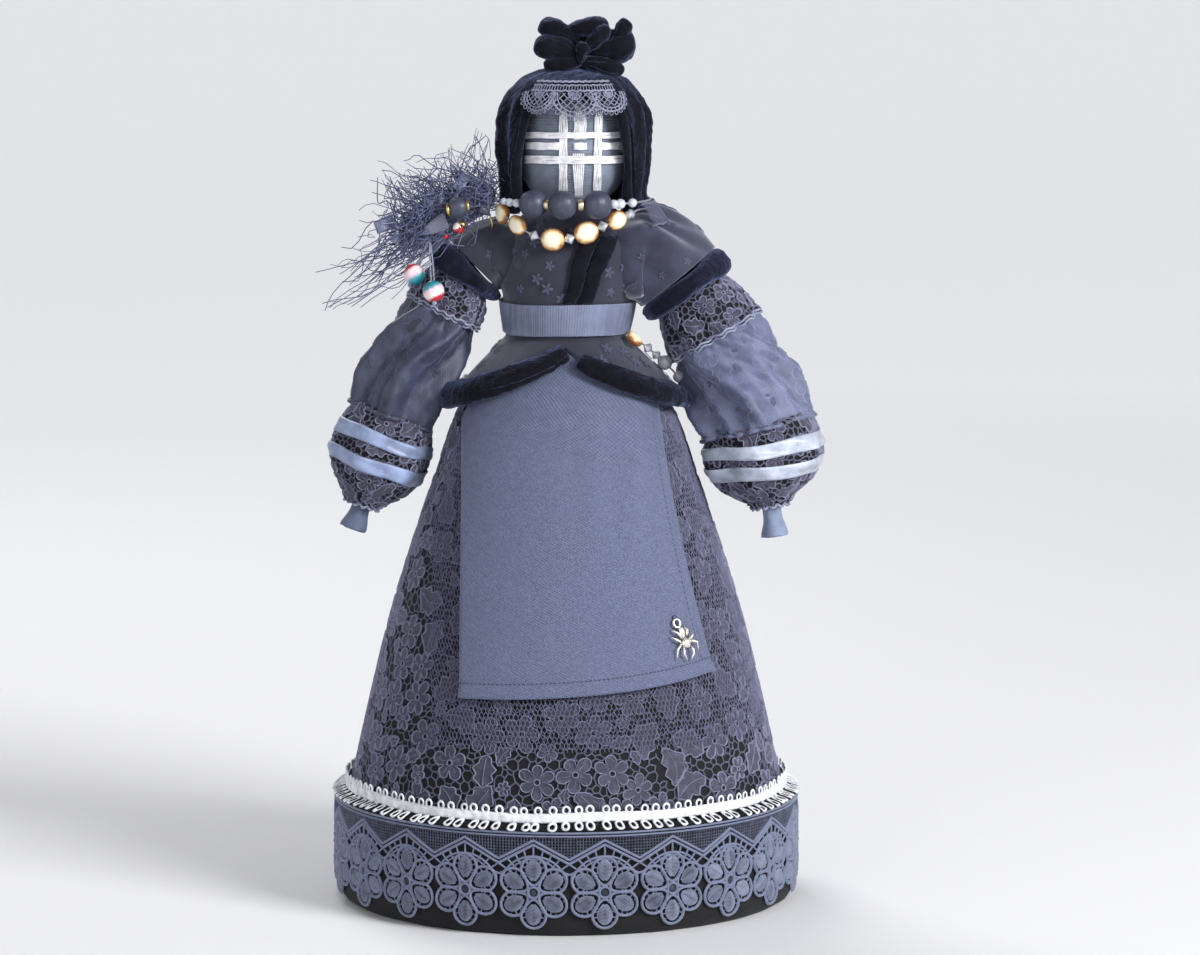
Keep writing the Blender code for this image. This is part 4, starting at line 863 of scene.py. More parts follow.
def add_hem_lace(looks):
    """The guipure edging: bound net, a corded zigzag, ladders of bars and six-petalled flowers."""
    inside = HEM_RADIUS + HEM_LACE_OFF
    pitch = TURN * inside / FLOWERS
    half = pitch / 2
    drawn = Flat(FULL_CORD)
    steps = np.linspace(-half, half, 13)
    for level, width, rise in ((36.1, 0.75, 0.7), (35.0, 0.65, 0.6)):
        drawn.cord(np.column_stack([steps, np.full(13, level)]), width, rise, base=0.25)
    # the corded zigzag's high and low points
    peak, valley = 33.6, 27.0

    def zigzag(across):
        share = np.abs(across) / half
        return peak - (peak - valley) * share

    across = np.linspace(-half, half, 15)
    for drop, width in ((0.0, 0.95), (1.45, 0.95)):
        drawn.cord(np.column_stack([across, zigzag(across) - drop]), width, 0.8, base=0.3)
    for k in range(23):
        x = -half + (k + 0.5) * pitch / 23
        drawn.cord([[x, 34.9], [x, zigzag(x) + 0.3]], 0.36, 0.36, base=0.25, tint=0.3)
    for k in range(7):
        level = 34.2 - k * 1.02
        reach = half * (1 - max(0.0, (peak - level)) / (peak - valley))
        if reach >= half - 0.3:
            drawn.cord([[-half, level], [half, level]], 0.32, 0.3, base=0.2, tint=0.3)
        else:
            start = half - reach
            for side in (-1, 1):
                drawn.cord([[side * half, level], [side * start, level]], 0.32, 0.3, base=0.2, tint=0.3)
    arch = np.radians(np.linspace(8, 172, 25))
    arch_wide, arch_tall, arch_foot = 11.2, 10.3, FLOWER_HEIGHT + 2.2
    arch_line = np.column_stack([np.cos(arch) * arch_wide, arch_foot + np.sin(arch) * arch_tall])
    arch_line = arch_line[arch_line[:, 1] < zigzag(arch_line[:, 0]) - 1.2]
    drawn.cord(arch_line, 0.75, 0.62, base=0.25)
    for degrees in np.linspace(20, 160, 11):
        way = np.array([math.cos(math.radians(degrees)), math.sin(math.radians(degrees))])
        start = np.array([way[0] * arch_wide, arch_foot + way[1] * arch_tall])
        stop = start + way * 3.6
        while stop[1] > zigzag(stop[0]) - 1.1 and np.linalg.norm(stop - start) > 0.6:
            stop = stop - way * 0.2
        drawn.cord([start, stop], 0.62, 0.5, base=0.25)
        inner = start - way * 2.3
        drawn.cord([inner, start], 0.62, 0.5, base=0.25)
    arch = arch[3:-3]
    inner_arch = np.column_stack([np.cos(arch) * 9.4, FLOWER_HEIGHT + 2.6 + np.sin(arch) * 8.9])
    drawn.cord(inner_arch, 0.6, 0.5, base=0.25)
    raised = Flat(FULL_CORD)
    ring, heart = hem_petal()
    petals = [(0.0, FLOWER_HEIGHT, k * TURN / 6, 1.0) for k in range(6)]
    drawn.copies(ring, petals)
    raised.copies(heart, petals)
    drawn.cord(ellipse(0, FLOWER_HEIGHT, 1.9, 1.9, count=14), 0.95, 0.95, closed=True, base=0.3)
    drawn.fill(ellipse(0, FLOWER_HEIGHT, 1.2, 1.2, count=10), 0.4, 0.5, rings=1)
    for name, part, look in (("hem_petals", raised, "guipure_petal"), ("hem_guipure", drawn, "guipure")):
        base = part.all_points()
        base[:, 1] = np.maximum(base[:, 1], 1.6)
        laid = Body()
        for k in range(FLOWERS):
            angle = (base[:, 0] + (k + FLOWER_START) * pitch) / inside
            out = inside - foot_curve(base[:, 1]) + base[:, 2] * 0.9
            laid.add(round_points(out, angle, base[:, 1]), part.faces, part.all_tints())
        piece = laid.build(name, looks[look], "lace")
    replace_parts(piece, "hem_lace")


def foot_curve(height):
    """How far the hem rounds in below its straight part."""
    share = np.clip(1 - height / HEM_ROUNDING, 0, 1)
    return (HEM_RADIUS - HEM_FOOT_RADIUS) * (1 - np.sqrt(1 - share**2))


def add_braid(looks):
    """White picot braid round the seam: a woven band with a ring of thread every few millimetres."""
    columns = 560
    angles = turns(columns, -np.pi)
    sag = 0.25 * np.sin(angles * 5 + 0.6) + 0.18 * np.sin(angles * 11)
    humps = ((0.0, 1.1), (0.3, 0.85), (0.62, 1.15), (0.96, 0.75), (1.0, 0.0))
    profile = np.array([(-across, out) for across, out in humps[:0:-1]] + list(humps))
    plait = 0.12 * np.cos(angles * columns / 4)
    up = profile[:, :1] * BRAID_WIDTH / 2 + sag[None, :]
    height = np.maximum(BRAID_HEIGHT + up, HEM_TOP + 0.3)
    radius = BRAID_INSIDE + profile[:, 1:] + plait[None, :] * (profile[:, 1:] > 0.5)
    grid = round_points(radius, angles[None, :], height)
    flat = flat_map(angles[None, :] * 77.0, up)
    piece = add_grid("braid_band", grid, looks["white"], flat, round_about=True)

    count = int(TURN * (BRAID_INSIDE + 1) / PICOT_PITCH)
    rng = np.random.default_rng(SEED + 1)
    rings = Body()
    major, minor = 11, 4
    a, b = turns(major)[:, None], turns(minor)[None, :]
    faces = []
    for i in range(major):
        for j in range(minor):
            low, high = i * minor, (i + 1) % major * minor
            after = (j + 1) % minor
            faces.append((low + j, high + j, high + after, low + after))
    for side in (-1, 1):
        for k in range(count):
            angle = (k + rng.uniform(-0.2, 0.2)) * TURN / count - np.pi
            reach = PICOT_RADIUS * rng.uniform(0.9, 1.08)
            tall = 1.12 if side > 0 else 0.8
            level = BRAID_HEIGHT + side * (BRAID_WIDTH / 2 + reach * tall * 0.75)
            level += 0.25 * math.sin(angle * 5 + 0.6) + 0.18 * math.sin(angle * 11)
            across = (reach + PICOT_THREAD * np.cos(b)) * np.cos(a)
            up = (reach * tall + PICOT_THREAD * np.cos(b)) * np.sin(a)
            out = PICOT_THREAD * np.sin(b) + 0 * a
            radius = BRAID_INSIDE + (0.75 if side > 0 else 1.0) + out
            if side < 0:
                radius = radius + 4.4 * smooth((HEM_TOP + 1.1 - (level + up)) / 1.8)
            rings.add(round_points(radius, angle + across / BRAID_INSIDE, level + up), faces)
    rings.build("braid_picots", looks["white"], "white")
    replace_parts(piece, "picot_braid")


class Body(Shapes):
    """Points and faces of one piece in space, in millimetres."""

    def grid(self, grid):
        self.add(grid, grid_faces(*grid.shape[:2]))

    def loft(self, grid, tint=0.0):
        """A closed form through rings of points, with its two ends drawn to their middles."""
        rows, columns = grid.shape[:2]
        faces = grid_faces(rows, columns, True)
        last = rows * columns
        for k in range(columns):
            faces.append((last, (k + 1) % columns, k))
            faces.append((last + 1, last - columns + k, last - columns + (k + 1) % columns))
        points = np.vstack([grid.reshape(-1, 3), grid[0].mean(0), grid[-1].mean(0)])
        if np.ndim(tint):
            tint = np.concatenate([np.ravel(tint), [0.0, 0.0]])
        self.add(points, faces, tint)

    def tube(self, path, radius, sides=6, closed=False):
        """A round string along a path. The radius may hold one value a point."""
        path = np.asarray(path, float)
        n = len(path)
        radius = np.broadcast_to(np.asarray(radius, float), (n,))
        ahead = np.roll(path, -1, 0) - np.roll(path, 1, 0)
        if not closed:
            ahead[0], ahead[-1] = path[1] - path[0], path[-1] - path[-2]
        ahead /= np.maximum(np.linalg.norm(ahead, axis=1), 1e-9)[:, None]
        side = np.cross(ahead[0], (0.1, 0.2, 1.0) if abs(ahead[0][2]) < 0.8 else (1.0, 0.1, 0.2))
        rings = []
        turn = turns(sides)
        for k in range(n):
            side = side - ahead[k] * side.dot(ahead[k])
            side = side / max(np.linalg.norm(side), 1e-9)
            other = np.cross(ahead[k], side)
            rings.append(path[k] + radius[k] * (np.outer(np.cos(turn), side) + np.outer(np.sin(turn), other)))
        rings = np.array(rings)
        if closed:
            faces = grid_faces(n, sides, True)
            low = (n - 1) * sides
            faces += [(low + k, low + (k + 1) % sides, (k + 1) % sides, k) for k in range(sides)]
            self.add(rings, faces)
        else:
            self.loft(rings)

    def turned(
        self, centre, axis, outline, sides=20, flat=1.0, face=(0.0, -1.0, 0.0), tints=None, wobble=0.0
    ):
        """A turned form: outline gives (place along the axis, radius); thinner towards face by flat."""
        axis = np.asarray(axis, float)
        axis = axis / np.linalg.norm(axis)
        face = np.asarray(face, float)
        face = face - axis * face.dot(axis)
        face = face / np.linalg.norm(face)
        across = np.cross(axis, face)
        turn = turns(sides)
        outline = np.asarray(outline, float)
        lumps = 1 + wobble * np.sin(turn * 3 + 0.7)
        ring = np.outer(np.cos(turn) * lumps, across) + flat * np.outer(np.sin(turn) * lumps, face)
        grid = np.asarray(centre) + outline[:, :1, None] * axis + outline[:, 1:, None] * ring
        self.loft(grid, 0.0 if tints is None else np.repeat(tints, sides))

    def build(self, name, material, slot, split=None):
        tints = self.all_tints()
        tints = tints if tints.any() else None
        return add_mesh(name, self.all_points(), self.faces, material, None, split, tints)


def ball_outline(radius, length=None, steps=12, power=1.0):
    """The outline of a ball or barrel for Body.turned."""
    tilt = np.linspace(0.04, np.pi - 0.04, steps)
    half = (length or 2 * radius) / 2
    return np.column_stack([-half * np.cos(tilt), radius * np.sin(tilt) ** power])


# The torso

TORSO_WIDTHS = ((197.0, 20.2), (222.0, 23.0), (237.0, 18.5), (244.0, 10.5))
TORSO_DEPTHS = ((197.0, 20.2), (222.0, 20.0), (237.0, 15.5), (244.0, 10.5))
TORSO_TALL = 47.0
HEAD_LEAN = 2.6
HEAD_SHIFT = np.array([HEAD_LEAN, 0.0, 0.0])
BODICE_OUT = 0.8
PEPLUM_FRONT = 195.5
PEPLUM_SIDE = 178.0
BELT_FOOT = 198.6
BELT_WIDTH = 11.0


def torso_points(angle, height, off):
    width = curve(TORSO_WIDTHS, height) + off
    depth = curve(TORSO_DEPTHS, height) + off
    shift = HEAD_LEAN * np.clip((height - WAIST) / TORSO_TALL, 0.0, 1.0)
    width, depth, shift, angle, height = np.broadcast_arrays(width, depth, shift, angle, height)
    return np.stack([shift + width * np.sin(angle), -depth * np.cos(angle), height], -1)


TORSO = Surface(torso_points, lambda height: curve(TORSO_WIDTHS, height))


def peplum_edge(angle):
    turned = np.abs(wrapped(angle))
    front = PEPLUM_FRONT + (PEPLUM_SIDE - PEPLUM_FRONT) * np.abs(np.sin(turned))
    return np.where(turned > np.pi / 2, PEPLUM_SIDE, front)


def blossom(size, rng):
    """A small raised flower of the bodice's cloth."""
    drawn = Flat()
    for k in range(5):
        way = k * TURN / 5 + rng.uniform(-0.15, 0.15)
        x, y = math.cos(way) * size * 0.55, math.sin(way) * size * 0.55
        drawn.fill(ellipse(x, y, size * 0.42, size * 0.27, way, count=8), 0.02, 0.3, rings=2)
    drawn.fill(ellipse(0, 0, size * 0.2, size * 0.2, count=6), 0.05, 0.32, rings=1)
    return drawn


def add_bodice(looks):
    rng = np.random.default_rng(SEED + 2)
    angles = turns(124, -np.pi)[None, :]
    share = np.linspace(0, 1, 20)[:, None]
    edge = peplum_edge(angles) - 0.2
    heights = edge + (WAIST - edge) * share
    flare = 0.9 * np.sin(angles * 9 + 0.8) * (1 - share) ** 1.5 * (np.abs(angles) > 0.5)
    low = round_points(skirt_radius(heights) + PEPLUM_OFF + BODICE_OUT + flare, angles, heights)
    rise = np.linspace(197.6, 243.6, 44)[:, None]
    high = torso_points(angles, rise, BODICE_OUT)
    lift = waves(high * (1.0, 1.0, 0.55), 8.0)
    drag = 0.35 * np.sin(rise * 0.55 + angles * 3.1) * smooth((222 - rise) / 12) * smooth((rise - WAIST) / 3)
    high = torso_points(angles, rise, BODICE_OUT + 0.55 * lift * smooth((rise - 209) / 5) + drag)
    grid = np.concatenate([low, high])
    flat = flat_map(angles * 22.0, np.concatenate([heights, rise + 0 * angles]))
    piece = add_grid("bodice_cloth", grid, looks["bodice"], flat, round_about=True)
    solidify(piece, 0.7)
    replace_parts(piece, "bodice")

    drawn = Body()
    peplum = Surface(
        lambda angle, height, off: skirt_points(angle, height, PEPLUM_OFF + BODICE_OUT + off), skirt_radius
    )
    for surface, low, high, tries in ((TORSO, 211.0, 241.0, 260), (peplum, 180.0, 195.5, 120)):
        for angle, level, size in lace_places(surface, rng, (2.3,), low, high, 1.02, tries):
            if surface is peplum and level - 2.2 < float(peplum_edge(angle)):
                continue
            off = BODICE_OUT + 0.35 if surface is TORSO else 0.5
            flower = blossom(size * rng.uniform(0.75, 1.05), rng)
            drawn.add(surface.lay(flower.all_points(), angle, level, off), flower.faces)
    drawn.build("bodice_blossoms", looks["bodice_flower"], "bodice")


def add_belt(looks):
    """Grosgrain ribbon: real ribs across its width, and a bound selvedge above and below."""
    ribs = 200
    columns = ribs * 3
    angles = turns(columns, -np.pi)[None, :]
    levels = np.array([0.0, 0.03, 0.07, 0.11, 0.37, 0.63, 0.89, 0.93, 0.97, 1.0])[:, None]
    bound = np.exp(-((levels - 0.05) / 0.03) ** 2) + np.exp(-((levels - 0.95) / 0.03) ** 2)
    rib = np.where(np.arange(columns)[None, :] % 3 == 1, 0.16, 0.0) * (1 - bound)
    billow = 0.25 * np.sin(angles * 5 + levels * 2.0) + 0.16 * np.sin(angles * 11 - levels * 3)
    sag = 0.25 * np.sin(angles * 3 + 1.0)
    grid = torso_points(angles, BELT_FOOT + BELT_WIDTH * levels + sag, 1.75 + rib + 0.14 * bound + billow)
    flat = flat_map(angles * 22.0, levels * BELT_WIDTH)
    piece = add_grid("belt", grid, looks["belt"], flat, round_about=True)
    solidify(piece, 0.5)
    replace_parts(piece, "waist_ribbon")


def crushed(grid, amount, size, seed=0.0):
    """Moves a grid of velvet points in and out along the way they lie from their ring's middle."""
    middle = grid.mean(1, keepdims=True)
    way = grid - middle
    way /= np.maximum(np.linalg.norm(way, axis=-1, keepdims=True), 1e-6)
    lift = waves(grid, size, seed)
    fine = waves(grid, size / 2.6, seed + 4)
    return grid + way * (amount * (lift + 0.45 * fine))[..., None]


def add_lapels(looks):
    """Two velvet strips side by side, slanting down the front, each a soft padded roll."""
    for name, side in (("lapel_left", -1), ("lapel_right", 1)):
        share = np.linspace(0, 1, 44)
        level = 209.9 + 23.4 * share
        half = 2.4 + 0.9 * share
        middle = 3.7 + 7.6 * share + side * (half + 0.15) + 0.35 * np.sin(share * 9 + side)
        turn = turns(22)
        across = middle[:, None] + np.cos(turn)[None, :] * half[:, None]
        ends = smooth(share / 0.06)[:, None], smooth((1 - share) / 0.05)[:, None]
        out = 1.5 + 1.15 * np.sin(turn)[None, :] * ends[0] * ends[1]
        width = curve(TORSO_WIDTHS, level) + 1.0
        lean = HEAD_LEAN * (level - WAIST) / TORSO_TALL
        angle = np.arcsin(np.clip((across - lean[:, None]) / width[:, None], -0.99, 0.99))
        grid = torso_points(angle, level[:, None] + 0 * across, out + 0.35)
        drawn = Body()
        drawn.loft(crushed(grid, 0.3, 3.2, side)[:, ::-1])
        piece = drawn.build(f"{name}_velvet", looks["velvet"], "velvet")
        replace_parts(piece, name)


def dress_frame(angle, height):
    """The way out of the dress at a place."""
    low, high = skirt_spot(angle, height - 1.0, 0.0), skirt_spot(angle, height + 1.0, 0.0)
    sideways = np.array([math.cos(angle), math.sin(angle), 0.0])
    outward = np.cross(sideways, high - low)
    return outward / np.linalg.norm(outward)


def add_trims(looks):
    """The fat velvet rolls along the peplum's open V, each folded over once along its length."""
    for name, side in (("peplum_trim_left", -1), ("peplum_trim_right", 1)):
        rings = []
        for share in np.linspace(0, 1, 60):
            first = -1.5 if side < 0 else 8.0
            angle = side * math.radians(first + (81 - first) * share)
            level = float(peplum_edge(angle)) - 2.5
            swell = 0.86 + 0.26 * math.sin(math.pi * share) + (0.34 * share**2 if side < 0 else 0.12 * share)
            swell *= float(smooth(share / 0.05 + 0.25)) * float(smooth((1 - share) / 0.04 + 0.3))
            half_width, half_depth = 4.3 * swell, 2.7 * swell
            outward = dress_frame(angle, level)
            spot = skirt_points(np.array([angle, angle + side * 0.02]), np.array([level, level - 0.2]), 0.0)
            across = np.cross(outward, spot[1] - spot[0])
            across /= np.linalg.norm(across)
            middle = skirt_spot(angle, level, PEPLUM_OFF + 0.8) + outward * (2.5 * swell - 0.3)
            turn = turns(30)
            fold = 1 - 0.3 * bell(wrapped(turn - 1.15 - 0.35 * math.sin(share * 6)), 0.28)
            fold = fold - 0.12 * bell(wrapped(turn + 0.6), 0.25) * math.sin(share * 11)
            rings.append(middle + np.outer(np.cos(turn) * fold * half_depth, outward)
                         + np.outer(np.sin(turn) * fold * half_width, across))
        drawn = Body()
        drawn.loft(crushed(np.array(rings), 0.5, 4.0, 3 + side))
        piece = drawn.build(f"{name}_roll", looks["velvet"], "velvet")
        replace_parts(piece, name)


# The head and the face

HEAD_OUTLINE = ((244.2, 10.5), (248.0, 15.0), (254.0, 18.2), (264.0, 19.3), (274.0, 18.0), (282.0, 13.0),
                (285.8, 7.0), (287.0, 2.5))
HOOD_OUTLINE = ((240.5, 24.6), (248.0, 25.0), (264.0, 26.4), (276.0, 25.6), (286.0, 19.0), (290.5, 10.0))
THREAD_RADIUS = 0.3
THREADS_FOOT, THREADS_TOP = 246.5, 280.0
THREADS_LEFT, THREADS_RIGHT = -13.5, 19.3
HOOD_FOOT = 240.5
HOOD_CROWN = 282.0
HOOD_LINING_RADIUS = 21.4


def head_points(angle, height, off):
    return round_points(curve(HEAD_OUTLINE, height) + off, angle, height) + HEAD_SHIFT


def add_head(looks):
    """Dark cloth with fine ribs, which run level over the brow and sag in arcs lower down."""
    angles = turns(68, -np.pi)[None, :]
    heights = np.linspace(244.3, 286.9, 230)[:, None]
    across = np.sin(angles) * 19.0
    sag = smooth((272 - heights) / 22) * (across**2) * 0.016
    rib = np.sin((heights + sag) * TURN / 1.02)
    frontal = smooth((np.cos(angles) + 0.2) / 0.5)
    grid = head_points(angles, heights, -0.12 + 0.11 * rib * frontal)
    piece = add_grid("face_cloth", grid, looks["face"], None, round_about=True)
    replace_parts(piece, "head")


def face_spot(x, z, off):
    radius = curve(HEAD_OUTLINE, z)
    angle = np.arcsin(np.clip((x - HEAD_LEAN) / radius, -0.995, 0.995))
    return head_points(angle, z, off)


def add_face_threads(looks):
    """The cross grid: bands of separate white strands wound over the face, one over the other."""
    rng = np.random.default_rng(SEED + 3)
    drawn = Body()
    strand = THREAD_RADIUS, 7
    for left, right, lean_share, sway in ((-2.15, 0.75, 0.02, 0.2), (9.6, 12.25, 0.055, 0.4)):
        for k in range(5):
            x = left + THREAD_RADIUS + (right - left - 2 * THREAD_RADIUS) * k / 4
            z = np.linspace(THREADS_FOOT, THREADS_TOP, 30)
            lean = (z - 262) * lean_share
            wander = 0.09 * np.sin(z * 0.6 + rng.uniform(0, 6)) + lean * sway
            drawn.tube(face_spot(x + wander, z, 0.42 + rng.uniform(-0.05, 0.12)), *strand)
    for k in range(7):
        x = 3.2 + 3.6 * k / 6
        z = np.linspace(266.8, THREADS_TOP, 14)
        drawn.tube(face_spot(x + 0.1 * np.sin(z + k), z, 0.4), *strand)
    for k in range(6):
        z = np.linspace(THREADS_FOOT, 262.0, 16)
        squeeze = 0.62 + 0.38 * smooth((z - 247) / 12)
        drawn.tube(face_spot(4.45 + (-1.7 + 3.4 * k / 5) * squeeze, z, 0.4), *strand)
    for low, high, count in ((267.2, 269.35, 4), (258.4, 261.2, 5)):
        for k in range(count):
            z0 = low + THREAD_RADIUS + (high - low - 2 * THREAD_RADIUS) * k / (count - 1)
            x = np.linspace(THREADS_LEFT, THREADS_RIGHT, 44)
            z = z0 + 0.08 * np.sin(x * 0.7 + rng.uniform(0, 6)) - 0.0016 * (x - 2.6) ** 2
            drawn.tube(face_spot(x, z, 0.92 + rng.uniform(-0.04, 0.1)), *strand)
    for first, last in ((THREADS_LEFT, -0.6), (11.6, THREADS_RIGHT)):
        for k in range(5):
            x = np.linspace(first, last, 18)
            z = 263.5 + 2.0 * k / 4 + 0.1 * np.sin(x * 0.9 + k) - 0.0016 * (x - 2.6) ** 2
            drawn.tube(face_spot(x, z, 0.42), *strand)
    piece = drawn.build("face_strands", looks["white"], "white")
    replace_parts(piece, "face_threads")
    stitch = Body()
    for k in range(5):
        z0 = 263.55 + 1.9 * k / 4
        x = np.linspace(2.9, 7.3, 12)
        dip = -0.8 * (smooth((3.3 - x) / 0.5) + smooth((x - 6.9) / 0.5))
        stitch.tube(face_spot(x, z0 + 0.1 * np.sin(x * 2 + k), 0.5 + dip), *strand)
    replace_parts(stitch.build("face_stitch_strands", looks["white"], "white"), "face_stitch")


# The hood, its rosette and its lace


def hood_points(angle, height, off):
    """The hood's outside, with long soft pleats beside the face."""
    turned = wrapped(angle)
    # the front edges lean in over the brow
    lean = math.radians(8) * smooth((height - 247.0) / 34) * bell(np.abs(turned) - 0.98, 0.45)
    turned = turned - np.sign(turned) * lean
    left = bell(turned + math.radians(74), math.radians(26))
    right = bell(turned - math.radians(76), math.radians(28))
    lift = smooth((height - 241.0) / 10) * smooth((287.0 - height) / 12)
    fold = 1.25 * left * np.cos(turned * 15 + 0.9)
    fold = fold + 1.2 * right * np.cos(turned * 17 - 0.6 + (height - 260) * 0.012)
    behind = 0.55 * smooth(-np.cos(turned)) * np.cos(turned * 13 + (height - 260) * 0.02)
    radius = curve(HOOD_OUTLINE, height) + (fold + behind) * lift + off
    return round_points(radius, turned, height) + HEAD_SHIFT


def hood_edge(angle):
    turned = np.abs(wrapped(angle))
    return HOOD_FOOT + 38.5 * (1 - smooth((turned - math.radians(55)) / math.radians(9) + 0.5))


def add_hood(looks):
    columns = 184
    share = np.linspace(0, 1, columns, endpoint=False)
    angles = np.pi * (2 * share - 1)
    # the columns stand closer together at the sides of the face
    angles = angles + 0.22 * np.sin(2 * angles)
    angles = angles[None, :]
    edge = hood_edge(angles)
    rows = []
    for up in np.linspace(0, 1, 56):
        height = edge + (HOOD_CROWN - edge) * up
        roll = 0.9 * math.sin(math.pi * min(1.0, up * 6)) - 0.9 * (up < 0.02)
        rows.append(hood_points(angles, height, roll))
    for top in np.linspace(282.6, 291.2, 12):
        rows.append(hood_points(angles, np.full_like(angles, min(top, 290.4)), 0.0))
        if top > 290.4:
            middle = np.array([HEAD_LEAN + 2.0, 0.0, 291.4])
            rows[-1] = rows[-2] + (middle - rows[-2]) * 0.45
    outer = np.concatenate(rows)
    lift = waves(outer * (1.0, 1.0, 0.6), 5.0, 2)
    way = outer - np.array([HEAD_LEAN, 0.0, 262.0])
    way /= np.linalg.norm(way, axis=-1, keepdims=True)
    plush = waves(outer, 1.9, 6)
    outer = outer + way * (0.6 * lift + 0.42 * plush)[..., None]
    inner = []
    for up in np.linspace(0.0, 1.0, 10):
        height = edge + (281.0 - edge) * up
        inner.append(round_points(HOOD_LINING_RADIUS, angles, height) + HEAD_SHIFT)
    grid = np.concatenate([np.concatenate(inner)[::-1], outer])
    piece = add_grid("hood_velvet", grid, looks["velvet"], None, round_about=True)
    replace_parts(piece, "velvet_hood")

    # the rolled front edges beside the face
    roll = Body()
    for side in (-1, 1):
        path, radii = [], []
        for share in np.linspace(0, 1, 40):
            turned = side * math.radians(53.5 + 1.5 * math.sin(share * 7) - 6 * share**3)
            height = 241.5 + 41.0 * share
            path.append(hood_points(np.array([turned]), np.array([height]), -1.6)[0])
            radii.append(1.7 + 0.35 * math.sin(share * 9 + side))
        roll.tube(path, radii, 14)
    roll.build("hood_front_edges", looks["velvet"], "velvet")


def puff_loop(centre, reach, heading, lean, seed):
    """One puffed loop of the bow: full at its outer end, creased where it runs into the knot."""
    count, sides = 28, 34
    t = np.linspace(0.03, np.pi - 0.03, count)[:, None]
    a = turns(sides)[None, :]
    neck = 0.45 + 0.55 * smooth(t / 2.2)
    pleat = 1 - 0.16 * (0.5 + 0.5 * np.cos(5 * a + seed)) ** 3 * (1 - smooth((t - 1.2) / 1.3))
    pleat = pleat - 0.14 * bell(wrapped(a - 1.2 + 0.3 * np.sin(seed)), 0.25) * np.sin(t)
    x = -np.cos(t) * reach[0] + 0 * a
    y = np.sin(t) ** 0.7 * np.cos(a) * reach[1] * pleat * neck
    z = np.sin(t) ** 0.7 * np.sin(a) * reach[2] * pleat * neck
    z = z + lean * (x / reach[0]) ** 2
    c, s = math.cos(heading), math.sin(heading)
    grid = np.stack([c * x - s * z, y, s * x + c * z], -1) + np.asarray(centre)
    return crushed(grid, 0.55, 2.6, seed)


def add_rosette(looks):
    """The gathered velvet bow over the brow: puffed loops and two folded ears round a small knot."""
    loops = (
        ((7.0, 1.5, 296.8), (14.5, 9.0, 7.6), 0.0, 0.0),
        ((-1.8, -4.6, 303.0), (7.8, 5.6, 4.3), 2.75, 0.5),
        ((6.6, -4.0, 304.6), (8.4, 6.2, 3.9), 0.15, -0.4),
        ((-2.6, -8.0, 297.6), (8.4, 5.2, 4.9), 2.95, 0.9),
        ((15.6, -6.2, 297.6), (8.8, 6.6, 6.6), 0.2, 0.6),
        ((19.4, -7.6, 303.2), (4.6, 3.8, 3.3), 0.95, 0.6),
        ((0.6, -7.4, 292.4), (8.2, 4.6, 3.6), 3.35, -0.5),
        ((12.6, -8.2, 291.8), (8.0, 4.4, 3.4), -0.2, -0.4),
        ((10.6, -9.2, 300.4), (6.4, 4.0, 3.4), 0.75, 0.4),
    )
    drawn = Body()
    for k, (centre, reach, heading, lean) in enumerate(loops):
        drawn.loft(puff_loop(centre, reach, heading, lean, k * 1.7 + 0.4))
    drawn.loft(puff_loop((5.8, -10.6, 296.2), (3.6, 3.0, 2.7), 1.4, 0.0, 31.0))
    piece = drawn.build("rosette_bow", looks["velvet"], "velvet")
    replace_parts(piece, "velvet_rosette")


def lace_fan(radius, looped, lattice):
    """A half-round fan that opens downwards from its header, with loops round its edge."""
    drawn = Flat()
    turn = np.linspace(np.pi, TURN, 19)
    for share, width in ((1.0, 0.55), (0.82, 0.4), (0.3, 0.45)):
        drawn.cord(np.column_stack([np.cos(turn), np.sin(turn)]) * radius * share, width, 0.5, base=0.1)
    for k in range(13):
        way = np.pi + (k + 0.5) * np.pi / 13
        ends = np.array([math.cos(way), math.sin(way)])
        drawn.cord([ends * radius * 0.82, ends * radius], 0.4, 0.4, base=0.1)
        if looped:
            loop = ellipse(*(ends * radius * 1.1), radius * 0.11, radius * 0.09, way, 8)
            drawn.cord(loop, 0.3, 0.35, closed=True, base=0.1)
    if lattice:
        for way in (-1, 1):
            for k in range(-4, 5):
                x = np.linspace(-1, 1, 15) * radius
                y = way * x * 0.9 + k * radius * 0.3 - radius * 0.25
                keep = (np.hypot(x, y) < radius * 0.8) & (y < 0)
                if keep.sum() > 1:
                    drawn.cord(np.column_stack([x, y])[keep], 0.3, 0.3, base=0.12)
    for k in range(7):
        way = np.pi + (k + 0.5) * np.pi / 7
        ends = np.array([math.cos(way), math.sin(way)])
        drawn.cord([ends * radius * 0.05, ends * radius * 0.3], 0.34, 0.4, base=0.1)
    return drawn


